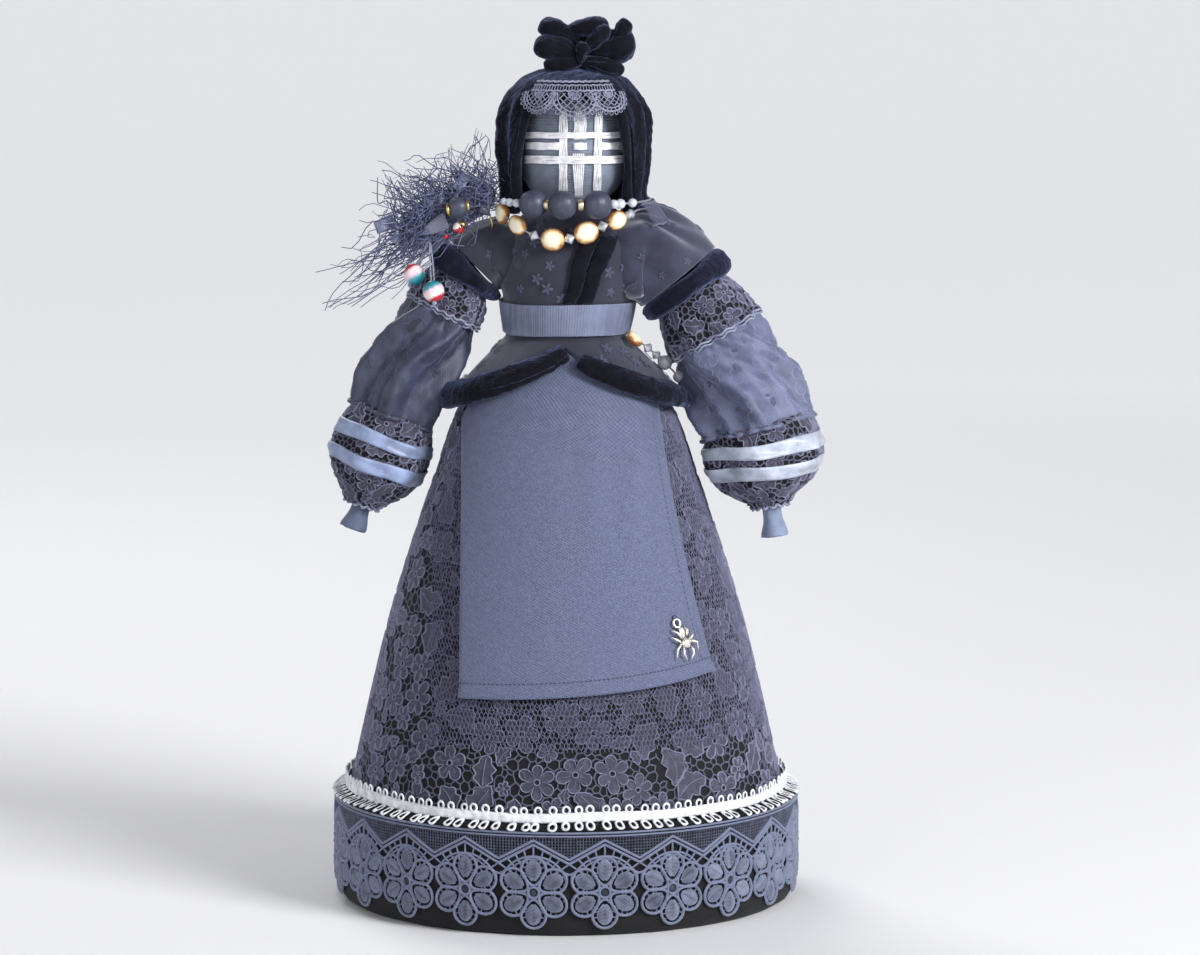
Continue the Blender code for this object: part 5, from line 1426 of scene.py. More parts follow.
def add_brow_lace(looks):
    middle = 5.0
    top = 283.4
    pale, dark = Flat(), Flat()
    for x, radius in ((-10.4, 6.4), (3.6, 8.2), (16.8, 6.6)):
        pale.copies(lace_fan(radius, True, True), [(x - middle, top, 0.0, 1.0)])
    for x, radius in ((-4.0, 6.8), (10.6, 7.0)):
        dark.copies(lace_fan(radius, True, False), [(x - middle, top, 0.0, 1.0)])
    x = np.linspace(-19.5, 15.5, 60)
    for level, width in ((top + 3.4, 0.65), (top + 2.2, 0.5), (top + 0.4, 0.6)):
        pale.cord(np.column_stack([x, level + 0.15 * np.sin(x * 2.1)]), width, 0.6, base=0.1)
    for k in range(30):
        at = -19.0 + k * 34 / 29
        pale.cord([[at, top + 0.3], [at + 0.3, top + 2.3]], 0.34, 0.4, base=0.12)

    def lay(drawn, off):
        points = drawn.all_points()
        ripple = 0.7 * np.sin(points[:, 0] * 0.47 + 0.8) * np.clip((top - points[:, 1]) / 6, 0, 1)
        height = points[:, 1]
        rest = np.maximum(height, 279.0)
        radius = curve(HOOD_OUTLINE, rest) + off + ripple + points[:, 2]
        angle = math.radians(4.5) + points[:, 0] * 0.87 / (curve(HOOD_OUTLINE, np.full(len(points), 281.0)))
        return round_points(radius, angle, height) + HEAD_SHIFT

    piece = add_mesh("brow_lace_pale", lay(pale, 2.1), pale.faces, looks["pale_lace"])
    add_mesh("brow_lace_dark", lay(dark, 1.4), dark.faces, looks["brow_dark"])
    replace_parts(piece, "brow_lace")


# The arms and their sleeves

LEFT_ARM = ((-24.8, 0.0, 229.0), (-35.0, -1.0, 219.4), (-44.5, -2.0, 202.5), (-54.0, -3.0, 184.5),
            (-62.0, -4.0, 165.0), (-67.0, -5.0, 150.0), (-71.5, -5.5, 138.0), (-74.0, -6.0, 130.5))
RIGHT_ARM = ((26.4, 0.0, 229.0), (34.0, -0.5, 223.0), (42.7, -1.0, 212.5), (50.4, -2.0, 200.0),
             (59.9, -3.0, 183.0), (66.9, -4.0, 167.0), (70.7, -5.0, 143.0), (73.2, -6.0, 128.0))
# For each sleeve piece, its stations along the arm and its radii; then how deep its folds are
LEFT_SLEEVE = {
    "droop": 0.3,
    "pleats": 0.05,
    "puffs": 0.17,
    "cap": ((-14.0, 5.0), (-8.0, 9.5), (-2.0, 11.6), (4.0, 12.2), (12.0, 12.6)),
    "cuff": (10.8, 17.4, 12.2, 14.5),
    "lace": ((17.0, 9.8), (23.0, 12.2), (30.5, 12.4)),
    "organza": ((29.0, 12.0), (40.0, 14.2), (52.0, 15.2), (62.0, 15.6), (71.0, 14.8)),
    "lace_cuff": ((69.0, 13.4), (78.0, 15.8), (88.0, 15.9), (95.0, 12.4), (100.0, 7.8), (103.5, 5.6)),
    "ribbons": (78.5, 88.0),
}
RIGHT_SLEEVE = {
    "droop": 0.2,
    "pleats": 0.13,
    "puffs": 0.125,
    "cap": ((-14.0, 8.0), (-8.0, 13.5), (-2.0, 16.4), (6.0, 17.2), (19.0, 16.4)),
    "cuff": (17.8, 24.8, 15.0, 17.7),
    "lace": ((24.6, 12.6), (31.0, 15.0), (42.0, 16.4)),
    "organza": ((40.0, 15.8), (52.0, 18.2), (62.0, 19.5), (77.0, 19.6)),
    "lace_cuff": ((75.0, 18.0), (82.0, 20.0), (90.0, 19.8), (97.0, 15.2), (101.5, 8.6), (105.0, 5.8)),
    "ribbons": (83.0, 91.0),
}
# How the lace of a frill and of a cuff is drawn: its grid, its flowers' sizes and how they are spaced
FRILL_CUT = {
    "grid": (16, 100), "sizes": (3.6, 2.6), "margin": 1.0, "room": 0.95, "tries": 220, "cell": 2.2,
    "off": 0.3,
}
CUFF_CUT = {
    "grid": (36, 96), "sizes": (4.4, 3.4, 2.5), "margin": 2.0, "room": 0.93, "tries": 420, "cell": 2.3,
    "off": 0.35,
}
UNDER_LACE_OFF = -0.42


class Arm:
    """An arm's middle line. An angle of 90 degrees round it faces the front."""

    def __init__(self, knots, side):
        spots = np.array(knots)
        lengths = np.concatenate([[0.0], np.cumsum(np.linalg.norm(np.diff(spots, axis=0), axis=1))])
        self.axes = [list(zip(lengths, spots[:, k])) for k in range(3)]
        self.length = float(lengths[-1])
        self.side = side

    def middle(self, station):
        return np.stack([curve(axis, station) for axis in self.axes], -1)

    def points(self, angle, station, radius):
        angle, station, radius = np.broadcast_arrays(angle, station, radius)
        along = np.maximum(station, 0.0)
        heading = self.middle(along + 1.5) - self.middle(along - 1.5)
        heading /= np.linalg.norm(heading, axis=-1, keepdims=True)
        start = smooth(station / 6.0)[..., None]
        heading = heading * start + np.array([self.side, 0.0, 0.0]) * (1 - start)
        side = np.cross(heading, np.array([0.0, 1.0, 0.0]))
        side /= np.linalg.norm(side, axis=-1, keepdims=True)
        front = np.cross(heading, side)
        before = np.minimum(station, 0.0)[..., None] * np.array([self.side, 0.0, 0.0])
        after = np.maximum(station - self.length, 0.0)[..., None] * heading
        reach = np.cos(angle)[..., None] * side + np.sin(angle)[..., None] * front
        return self.middle(station) + before + after + reach * radius[..., None]


def sleeve_surface(arm, profile, fold):
    def point(angle, station, off):
        return arm.points(angle, station, curve(profile, station) * (1 + fold(angle, station)) + off)

    return Surface(point, lambda station: curve(profile, station))


def add_sleeve_cloth(name, surface, first, last, rows, columns, material, thickness=0.5):
    stations = np.linspace(first, last, rows)[:, None]
    angles = turns(columns, -np.pi)[None, :]
    grid = surface.point(angles, stations, 0.0)
    flat = flat_map(angles * float(surface.radius((first + last) / 2)), stations)
    piece = add_grid(name, grid, material, flat, round_about=True)
    solidify(piece, thickness)
    return piece


def ridge(phase, sharp):
    """A wave from -1 to 1 with narrow crests, as folded gauze has."""
    return 2 * (0.5 + 0.5 * np.cos(phase)) ** sharp - 1


def add_cap_sleeve(looks, label, arm, sleeve, rng):
    side = arm.side
    cap_end = sleeve["cuff"][0] - 0.8

    def cap_fold(angle, station):
        """The armhole reaches lower than the arm's line; folds run from the neck to the cuff."""
        share = smooth((station + 6.0) / (cap_end + 6.0))
        up = side * np.cos(angle)
        droop = -sleeve["droop"] * up * (1 - share)
        front = smooth(np.sin(angle) * 1.4 + 0.3)
        deep = sleeve["pleats"] * (0.35 + 0.65 * front) * np.sin(np.pi * np.clip(0.2 + 0.7 * share, 0, 1))
        pleats = ridge(5 * angle + 0.6 - 0.05 * station * side, 1.8)
        return droop + deep * (pleats + 0.35 * np.cos(11 * angle + station * 0.2))

    cap = sleeve_surface(arm, sleeve["cap"], cap_fold)
    cloth = looks[f"cape_{label}"]
    piece = add_sleeve_cloth(f"cap_sleeve_{label}_cloth", cap, -13.0, cap_end, 40, 96, cloth, 0.7)
    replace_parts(piece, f"cap_sleeve_{label}")
    drawn = Body()
    for angle, level, size in lace_places(cap, rng, (2.0,), -1.0, cap_end - 2.2, 2.2, 160):
        flower = blossom(size * rng.uniform(0.8, 1.05), rng)
        drawn.add(cap.lay(flower.all_points(), angle, level, 0.15), flower.faces)
    drawn.build(f"cap_sleeve_{label}_blossoms", looks["bodice_flower"], "bodice")


def add_velvet_cuff(looks, label, arm, sleeve):
    first, last, inner, outer = sleeve["cuff"]
    turn = np.linspace(0, TURN, 27)[:, None]
    angles = turns(120)[None, :]
    half = (last - first) / 2 + 0.4
    stations = (first + last) / 2 - np.cos(turn) * half * (1 + 0.12 * np.sin(angles * 3 + 1))
    swell = np.maximum(np.sin(turn), -0.35)
    radius = inner - 0.6 + (outer - inner + 1.0) * swell * (1 + 0.14 * np.sin(angles * 5 + 2) * (swell > 0))
    radius = radius - 0.55 * bell(np.cos(turn) - 0.25 * np.sin(angles * 2), 0.16) * (swell > 0)
    grid = arm.points(angles, stations, radius)
    fluff = waves(grid, 2.2, 5 + arm.side)
    fluff = fluff + 0.7 * waves(grid, 1.1, 9 + arm.side)
    grid = arm.points(angles, stations, radius + 0.38 * fluff)
    # The cuffs take the lighter copy of the velvet, a painted highlight.
    velvet = looks["velvet_pale"]
    piece = add_grid(f"velvet_cuff_{label}_roll", grid, velvet, round_about=True)
    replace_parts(piece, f"velvet_cuff_{label}")


def add_lace_cloth(looks, name, surface, low, high, cut, rng):
    """A dark lining with lace over it, between two stations along the arm."""
    rows, columns = cut["grid"]
    add_sleeve_cloth(f"{name}_lining", surface, low, high, rows, columns, looks["lining"])
    last, off = high - cut["margin"], cut["off"]
    placed = lace_places(surface, rng, cut["sizes"], low + 1.5, last, cut["room"], cut["tries"])
    motifs = add_motifs(f"{name}_flowers", surface, placed, low, high, off, rng, looks["lace"], "lace")
    bars = looks["lace_bars"]
    add_lace_bars(f"{name}_bars", surface, placed, low, high, cut["cell"], off, rng, bars)
    return motifs


def add_lace_frill(looks, label, arm, sleeve, rng):
    low, high = sleeve["lace"][0][0], sleeve["lace"][-1][0]

    def ruffle(angle, station):
        share = np.clip((station - low) / (high - low), 0, 1)
        return 0.085 * share * np.cos(9 * angle + 0.8 * arm.side) + 0.03 * np.cos(17 * angle) * share

    frill = sleeve_surface(arm, sleeve["lace"], ruffle)
    motifs = add_lace_cloth(looks, f"lace_sleeve_{label}", frill, low, high, FRILL_CUT, rng)
    edge = Body()
    turn = turns(160)
    for k, off in enumerate((0.35, 0.75)):
        path = frill.point(turn, high - 1.1 * k + 0.35 * np.cos(turn * 22), off)
        edge.tube(path, 0.36, 6, closed=True)
    edge.build(f"lace_sleeve_{label}_edge", looks["pale_lace"], "lace")
    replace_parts(motifs, f"lace_sleeve_{label}")


def add_organza(looks, label, arm, sleeve, rng):
    side, twist = arm.side, 0.02 * arm.side
    low, high = sleeve["organza"][0][0], sleeve["organza"][-1][0]

    def puff(angle, station):
        share = np.clip((station - low) / (high - low), 0, 1)
        swell = 0.35 + 0.65 * np.sin(np.pi * np.clip(share, 0.02, 0.98)) ** 0.5
        bend = angle + twist * (station - low) + 0.22 * np.sin(station * 0.11 + side)
        big = ridge(5 * bend + 1.1, 2.6) * sleeve["puffs"]
        mid = ridge(9 * bend - 0.5 + 0.9 * np.sin(station * 0.17), 1.8) * 0.05
        fine = 0.012 * np.sin(21 * bend + station * 0.5) + 0.01 * np.sin(station * 0.9 + 5 * angle)
        gathers = 0.026 * np.cos(26 * angle) * (np.exp(-share * 9) + np.exp(-(1 - share) * 12))
        return (big + mid + fine) * swell + gathers - 0.02

    organza = sleeve_surface(arm, sleeve["organza"], puff)
    gauze = looks[f"organza_{label}"]
    piece = add_sleeve_cloth(f"organza_{label}", organza, low, high, 62, 128, gauze, 0.35)
    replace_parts(piece, f"organza_sleeve_{label}")
    below = lace_places(organza, rng, (5.2, 4.0, 2.8), low + 2, high - 2, 0.95, 260)
    lace = looks[f"under_{label}"]
    add_motifs(f"organza_{label}_lace", organza, below, low, high, UNDER_LACE_OFF, rng, lace, "lace")
    hem = Body()
    for station, thick in ((high - 0.6, 0.8), (low + 0.8, 0.55)):
        turn = turns(200)
        path = organza.point(turn, station + 0.3 * np.sin(turn * 7), 0.35)
        hem.tube(path, thick * (1 + 0.16 * np.sin(turn * 23)), 8, closed=True)
    hem.build(f"organza_{label}_hems", gauze, "organza")


def add_lace_cuff(looks, label, arm, sleeve, rng):
    low, high = sleeve["lace_cuff"][0][0], sleeve["lace_cuff"][-1][0]

    def gathered(angle, station):
        share = np.clip((station - low) / (high - low), 0, 1)
        bulge = ridge(6 * angle + 0.4 * arm.side + 0.02 * station, 1.2) * 0.05
        pinch = ridge(13 * angle, 1.0) * 0.09 * smooth((share - 0.55) / 0.4)
        return bulge * np.sin(np.pi * np.clip(share, 0.05, 0.9)) + pinch

    cuff = sleeve_surface(arm, sleeve["lace_cuff"], gathered)
    motifs = add_lace_cloth(looks, f"lace_cuff_{label}", cuff, low, high, CUFF_CUT, rng)
    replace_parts(motifs, f"lace_cuff_{label}")
    edge = Body()
    turn = turns(150)
    edge.tube(cuff.point(turn, high - 0.3 + 0.5 * np.cos(turn * 13), 0.3), 0.5, 6, closed=True)
    edge.build(f"lace_cuff_{label}_edge", looks["pale_lace"], "lace")
    return cuff


def add_ribbons(looks, label, cuff, sleeve):
    """Two satin ribbons round the lace cuff."""
    for place, station in zip(("upper", "lower"), sleeve["ribbons"]):
        levels = np.linspace(-2.5, 2.5, 9)[:, None]
        angles = turns(100)[None, :]
        sway = 0.7 * np.sin(angles + 0.6) + 0.35 * np.sin(angles * 4 + station)
        crease = 0.22 * np.sin(angles * 7 + levels * 0.9 + station)
        crease = crease + 0.2 * np.sin(levels * 1.4 + angles * 3)
        grid = cuff.point(angles, station + levels + sway, 1.35 + crease - 0.1 * (np.abs(levels) > 2.2))
        flat = flat_map(angles * 16.0, levels)
        satin = looks[f"satin_{label}"]
        piece = add_grid(f"satin_{place}_{label}", grid, satin, flat, round_about=True)
        solidify(piece, 0.4)
        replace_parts(piece, f"cuff_ribbon_{place}_{label}")


def add_hand(looks, label, arm):
    """The end of the rolled cloth arm, with the spiral of its layers."""
    share = np.linspace(0, 1, 40)[:, None]
    angles = turns(64)[None, :]
    stations = arm.length - 18 + 18.6 * share
    wrap = 0.16 * np.sin(3 * angles + share * 4) + 0.5 * bell(angles - 2.0 - share, 0.12)
    outer = arm.points(angles, stations, 3.3 + 1.35 * smooth((share - 0.62) / 0.38) + wrap)
    roll = Body()
    roll.loft(outer[::-1])
    spiral = np.linspace(0, 3.2 * TURN, 110)
    path = arm.points(spiral, arm.length + 0.65, 0.4 + 3.8 * spiral / spiral[-1])
    roll.tube(path, 0.34, 6)
    piece = roll.build(f"hand_{label}", looks[f"arm_{label}"], "arm_cloth")
    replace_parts(piece, f"arm_roll_{label}")


def add_arm(looks, label, knots, side, sleeve, rng):
    arm = Arm(knots, side)
    add_cap_sleeve(looks, label, arm, sleeve, rng)
    add_velvet_cuff(looks, label, arm, sleeve)
    add_lace_frill(looks, label, arm, sleeve, rng)
    add_organza(looks, label, arm, sleeve, rng)
    add_ribbons(looks, label, add_lace_cuff(looks, label, arm, sleeve, rng), sleeve)
    add_hand(looks, label, arm)


# Beads, strings and charms

UPPER_BEADS = (-31.0, -7.4, 18.6)
NECK_RING = 26.9
WOODEN_RADIUS = 4.95
WOODEN_LENGTH = 9.7
CHINA_RADIUS = 3.75
CHAMPAGNE_SPACERS = ((-19.4, 1.75, 2.1), (5.6, 1.95, 2.5))
SHELL_BEADS = ((-64, 7.0, 3.4), (-47, 7.6, 3.1), (-17, 8.6, 3.6), (11, 8.8, 3.6), (37, 7.6, 3.0))
CRYSTALS = ((-33, 2.0), (-3, 2.1), (24.5, 2.1), (49.5, 1.8), (46.5, 1.5))
SMALL_PEARLS = ((-62.5, 1.35), (-54.3, 1.45), (-46.4, 1.5), (31.6, 1.6), (37.4, 1.75), (49.6, 1.6))
LOWER_DROP = ((-90, 0.0), (-64, -0.8), (-47, -5.4), (-17, -10.4), (11, -7.0), (37, -3.2), (56, 0.0))
LOWER_REACH = ((-90, 0.2), (-64, 0.9), (-47, -0.6), (-17, -3.2), (11, -3.0), (37, -1.6), (56, 0.0))


def upper_string(degrees):
    return round_points(NECK_RING, np.radians(degrees), 244.8) + HEAD_SHIFT


def lower_string(degrees):
    reach = NECK_RING + curve(LOWER_REACH, degrees)
    level = 242.2 + curve(LOWER_DROP, degrees)
    return round_points(reach, np.radians(degrees), level) + HEAD_SHIFT


def strung(string, degrees):
    """The middle of a bead on a string, and the way that the string runs through it."""
    at = string(np.array([degrees - 1, degrees, degrees + 1]))
    return at[1], at[2] - at[0]


def bicone(radius):
    half = ((0.9, 0.35), (0.95, 0.3))
    ends = [[radius * along, out] for along, out in half]
    return np.array([[-ends[1][0], 0.3], [-ends[0][0], 0.35], [0, radius], *ends])


def shell_form(body, centre, axis, face, length, radius, seed):
    """A flat oval bead cut from shell, ivory in the middle and amber at its edge."""
    outline = ball_outline(radius * 1.05, length, 18, 0.82)
    body.turned(centre, axis, outline, 32, 0.56, face, wobble=0.03)
    points = body.points[-1] - np.asarray(centre)
    axis = np.asarray(axis) / np.linalg.norm(axis)
    across = np.cross(axis, face)
    across /= np.linalg.norm(across)
    mottle = waves(points, 1.8, seed)
    rim = np.hypot(points @ axis / (length / 2), points @ across / radius)
    body.tints[-1] = np.clip(0.02 + smooth((rim - 0.6 + 0.2 * mottle) / 0.45), 0.02, 1.0)


def add_necklaces(looks):
    drawn = Body()
    drawn.tube(upper_string(np.linspace(-180, 180, 120, endpoint=False)), 0.36, 6, closed=True)
    piece = drawn.build("upper_string", looks["cord"], "string")
    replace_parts(piece, "upper_necklace")
    half = math.degrees(5.1 / NECK_RING)
    for k, degrees in enumerate(UPPER_BEADS):
        first, last = upper_string(degrees - half), upper_string(degrees + half)
        bead = Body()
        outline = ball_outline(WOODEN_RADIUS, WOODEN_LENGTH, 26, 0.86)
        outline[:, 1] += 0.05 * np.sin(np.arange(26) * 1.9)
        bead.turned((first + last) / 2, last - first, outline, 40, wobble=0.008)
        made = bead.build(f"wooden_bead_{k + 1}", looks["wood"], "wood")
        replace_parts(made, f"black_bead_{k + 1}")
    spacers = Body()
    for degrees, radius, length in CHAMPAGNE_SPACERS:
        outline = ball_outline(radius, length, 12, 0.5)
        outline[:, 1] += 0.14 * np.cos(np.arange(12) * 2.2)
        spacers.turned(*strung(upper_string, degrees), outline, 20)
    spacers.build("champagne_spacers", looks["champagne"], "brass")
    pearls = Body()
    for degrees, radius in SMALL_PEARLS:
        pearls.turned(*strung(upper_string, degrees), ball_outline(radius), 20)
    pearls.build("small_pearls", looks["pearl"], "string")

    drawn = Body()
    degrees = np.concatenate([np.linspace(-90, 56, 90), np.linspace(66, 260, 40)])
    drawn.tube(lower_string(degrees), 0.32, 6, closed=True)
    piece = drawn.build("lower_string", looks["cord"], "string")
    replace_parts(piece, "lower_necklace")
    for k, (degrees, length, radius) in enumerate(SHELL_BEADS):
        half = math.degrees((length / 2 + 0.2) / (NECK_RING - 2))
        ends = lower_string(np.array([degrees - half, degrees + half], float))
        face = round_points(1.0, np.array([math.radians(degrees)]), 0.0)[0]
        bead = Body()
        shell_form(bead, ends.mean(0), ends[1] - ends[0], face, length * 0.98, radius * 1.04, k)
        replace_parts(bead.build(f"shell_{k + 1}", looks["shell"], "shell"), f"shell_bead_{k + 1}")
    crystals = Body()
    for degrees, radius in CRYSTALS:
        crystals.turned(*strung(lower_string, degrees), bicone(radius), 7)
    crystals.build("crystals", looks["crystal"], "crystal", split=10)


def add_hip_chain(looks):
    # degrees from the front, height from the waist and the bead's radius, 0 where there is none
    places = (
        (60, 0.6, 0.0), (63, 0.0, 0.0), (74, -4.0, 0.0), (78, -6.0, 1.9), (80, -7.4, 0.0), (82, -8.6, 1.9),
        (83.5, -10.0, 1.5), (85, -11.4, 2.6), (87, -14.4, 0.0), (88.5, -16.4, 2.0), (89, -17.8, 0.0),
    )
    path = []
    for degrees, rise, _ in places:
        angle = math.radians(degrees)
        spot = skirt_spot(angle, WAIST + rise, PEPLUM_OFF + BODICE_OUT)
        path.append(spot + dress_frame(angle, WAIST + rise) * 3.2)
    path = np.array(path)
    drawn = Body()
    drawn.tube(path, 0.3, 6)
    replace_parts(drawn.build("hip_string", looks["cord"], "string"), "hip_chain")
    beads, pearls = Body(), Body()
    for k, (_, _, radius) in enumerate(places):
        axis = path[min(k + 1, len(path) - 1)] - path[k - 1]
        if radius > 1.95:
            pearls.turned(path[k], axis, ball_outline(radius), 22)
        elif radius:
            beads.turned(path[k], axis, bicone(radius), 7)
    beads.build("hip_crystals", looks["crystal"], "crystal", split=10)
    pearls.build("hip_pearls", looks["pearl"], "string")
    face = dress_frame(math.radians(68), 195.0)
    shell = Body()
    length = float(np.linalg.norm(path[2] - path[1])) - 0.3
    shell_form(shell, (path[1] + path[2]) / 2, path[2] - path[1], face, length, 3.1, 8)
    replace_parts(shell.build("hip_shell_bead", looks["shell"], "shell"), "hip_shell")


TUFT_MIDDLE = np.array([-40.5, -7.0, 240.0])
TUFT_SIZE = np.array([19.0, 5.0, 7.0])
TUFT_TILT = math.radians(29)
LONG_THREADS = 500
SHORT_THREADS = 300
TUFT_TIPS = ((-89.0, 206.5), (-79.0, 216.0), (-72.0, 231.0), (-67.2, 254.8), (-61.6, 255.9), (-57.0, 256.5),
             (-46.0, 261.0), (-37.0, 264.4), (-28.5, 268.0), (-21.5, 258.0), (-64.0, 224.0), (-24.0, 246.0))


def tilted(v):
    c, s = math.cos(TUFT_TILT), math.sin(TUFT_TILT)
    return np.stack([c * v[..., 0] - s * v[..., 2], v[..., 1], s * v[..., 0] + c * v[..., 2]], -1)


def tuft_surface(along, across, lift):
    depth = math.sqrt(max(0.0, 1 - along**2 - across**2))
    local = np.array([along, -depth, across]) * TUFT_SIZE
    normal = local / TUFT_SIZE**2
    normal /= np.linalg.norm(normal)
    return TUFT_MIDDLE + tilted(local + normal * lift), tilted(normal)


def add_tuft(looks):
    """A frayed tuft: a wound middle, hundreds of loose threads and a few cut ribbon ends."""
    rng = np.random.default_rng(SEED + 5)
    drawn = Body()
    for at, size in ((0.45, (9.5, 4.2, 6.2)), (-0.5, (10.0, 4.2, 6.4)), (0.0, (13.0, 3.6, 4.6))):
        t = np.linspace(0.05, np.pi - 0.05, 24)[:, None]
        a = turns(30)[None, :]
        local = np.stack([-np.cos(t) * size[0] + 0 * a, np.sin(t) * np.cos(a) * size[1],
                          np.sin(t) * np.sin(a) * size[2]], -1)
        drawn.loft(crushed(TUFT_MIDDLE + tilted(local + (at * 19.0, 0.4, 0.0)), 0.9, 2.4, at))
    t = np.linspace(0, 1, 13)
    for _ in range(LONG_THREADS):
        start = np.array([rng.uniform(-0.95, 0.95), rng.uniform(-0.9, 0.5), rng.uniform(-0.75, 0.75)])
        root = TUFT_MIDDLE + tilted(start * TUFT_SIZE * (0.9, 0.95, 0.85))
        tip = np.array(TUFT_TIPS[rng.integers(len(TUFT_TIPS))])
        way = np.array([tip[0] - root[0], 0.0, tip[1] - root[2]])
        reach = rng.uniform(0.18, 1.0) ** 1.25
        spread = rng.normal(0, 0.13) * np.linalg.norm(way)
        square = np.array([-way[2], 0.0, way[0]]) / max(np.linalg.norm(way), 1.0)
        end = root + way * reach + square * spread + (0, rng.uniform(-5.0, 4.0), 0)
        end[2] = max(end[2], 207.5)
        end[0] = max(end[0], -88.0)
        bow = square * rng.normal(0, 2.6) + (0, rng.uniform(-2.5, 1.0), rng.normal(0, 1.0))
        path = root + np.outer(t, end - root) + np.outer(np.sin(np.pi * t), bow)
        for _ in range(3):
            kink = np.sin(t * rng.uniform(4, 19) + rng.uniform(0, 6)) * np.minimum(1, 4 * t)
            path = path + np.outer(kink, rng.normal(0, 0.75, 3))
        drawn.tube(path, (0.29 - 0.14 * t) * rng.uniform(0.7, 1.2), 3)
    for _ in range(SHORT_THREADS):
        depth = rng.choice((-1.0, -1.0, 1.0)) * rng.uniform(0.35, 1.05)
        start = np.array([rng.uniform(-1.0, 1.0), depth, rng.uniform(-0.85, 0.85)])
        root = TUFT_MIDDLE + tilted(start * TUFT_SIZE * (0.95, 0.9, 0.9))
        way = tilted(np.array([rng.normal(0, 3.4), rng.uniform(-0.6, 0.6), rng.normal(0, 2.4)]))
        hump = np.array([rng.normal(0, 1.2), rng.uniform(-2.2, -0.6), rng.normal(0, 1.2)])
        path = root + np.outer(t - 0.5, way) * 1.6 + np.outer(np.sin(np.pi * t), hump)
        drawn.tube(path, 0.22, 3)
    piece = drawn.build("loose_threads", looks["tuft"], "thread")
    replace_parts(piece, "thread_tuft")

    ends = Body()
    cut_ends = (
        ((-62.5, -8.5, 236.5), 0.35, 4.6, 7.0),
        ((-57.0, -10.0, 231.0), -0.5, 3.6, 6.4),
        ((-47.0, -10.5, 245.5), 1.2, 3.4, 6.0),
        ((-36.0, -11.0, 251.5), 0.9, 3.6, 6.5),
    )
    for centre, heading, wide, long in cut_ends:
        u = np.linspace(-0.5, 0.5, 12)[:, None]
        v = np.linspace(-0.5, 0.5, 7)[None, :]
        x = u * long
        z = v * wide * (1 + 0.15 * u)
        c, s = math.cos(heading), math.sin(heading)
        y = 0.8 * np.sin(u * 5 + v) + 0.5 * v
        ends.grid(np.stack([c * x - s * z, y + 0 * x * z, s * x + c * z], -1) + centre)
    solidify(ends.build("tuft_ribbon_ends", looks["belt"], "grosgrain"), 0.3)


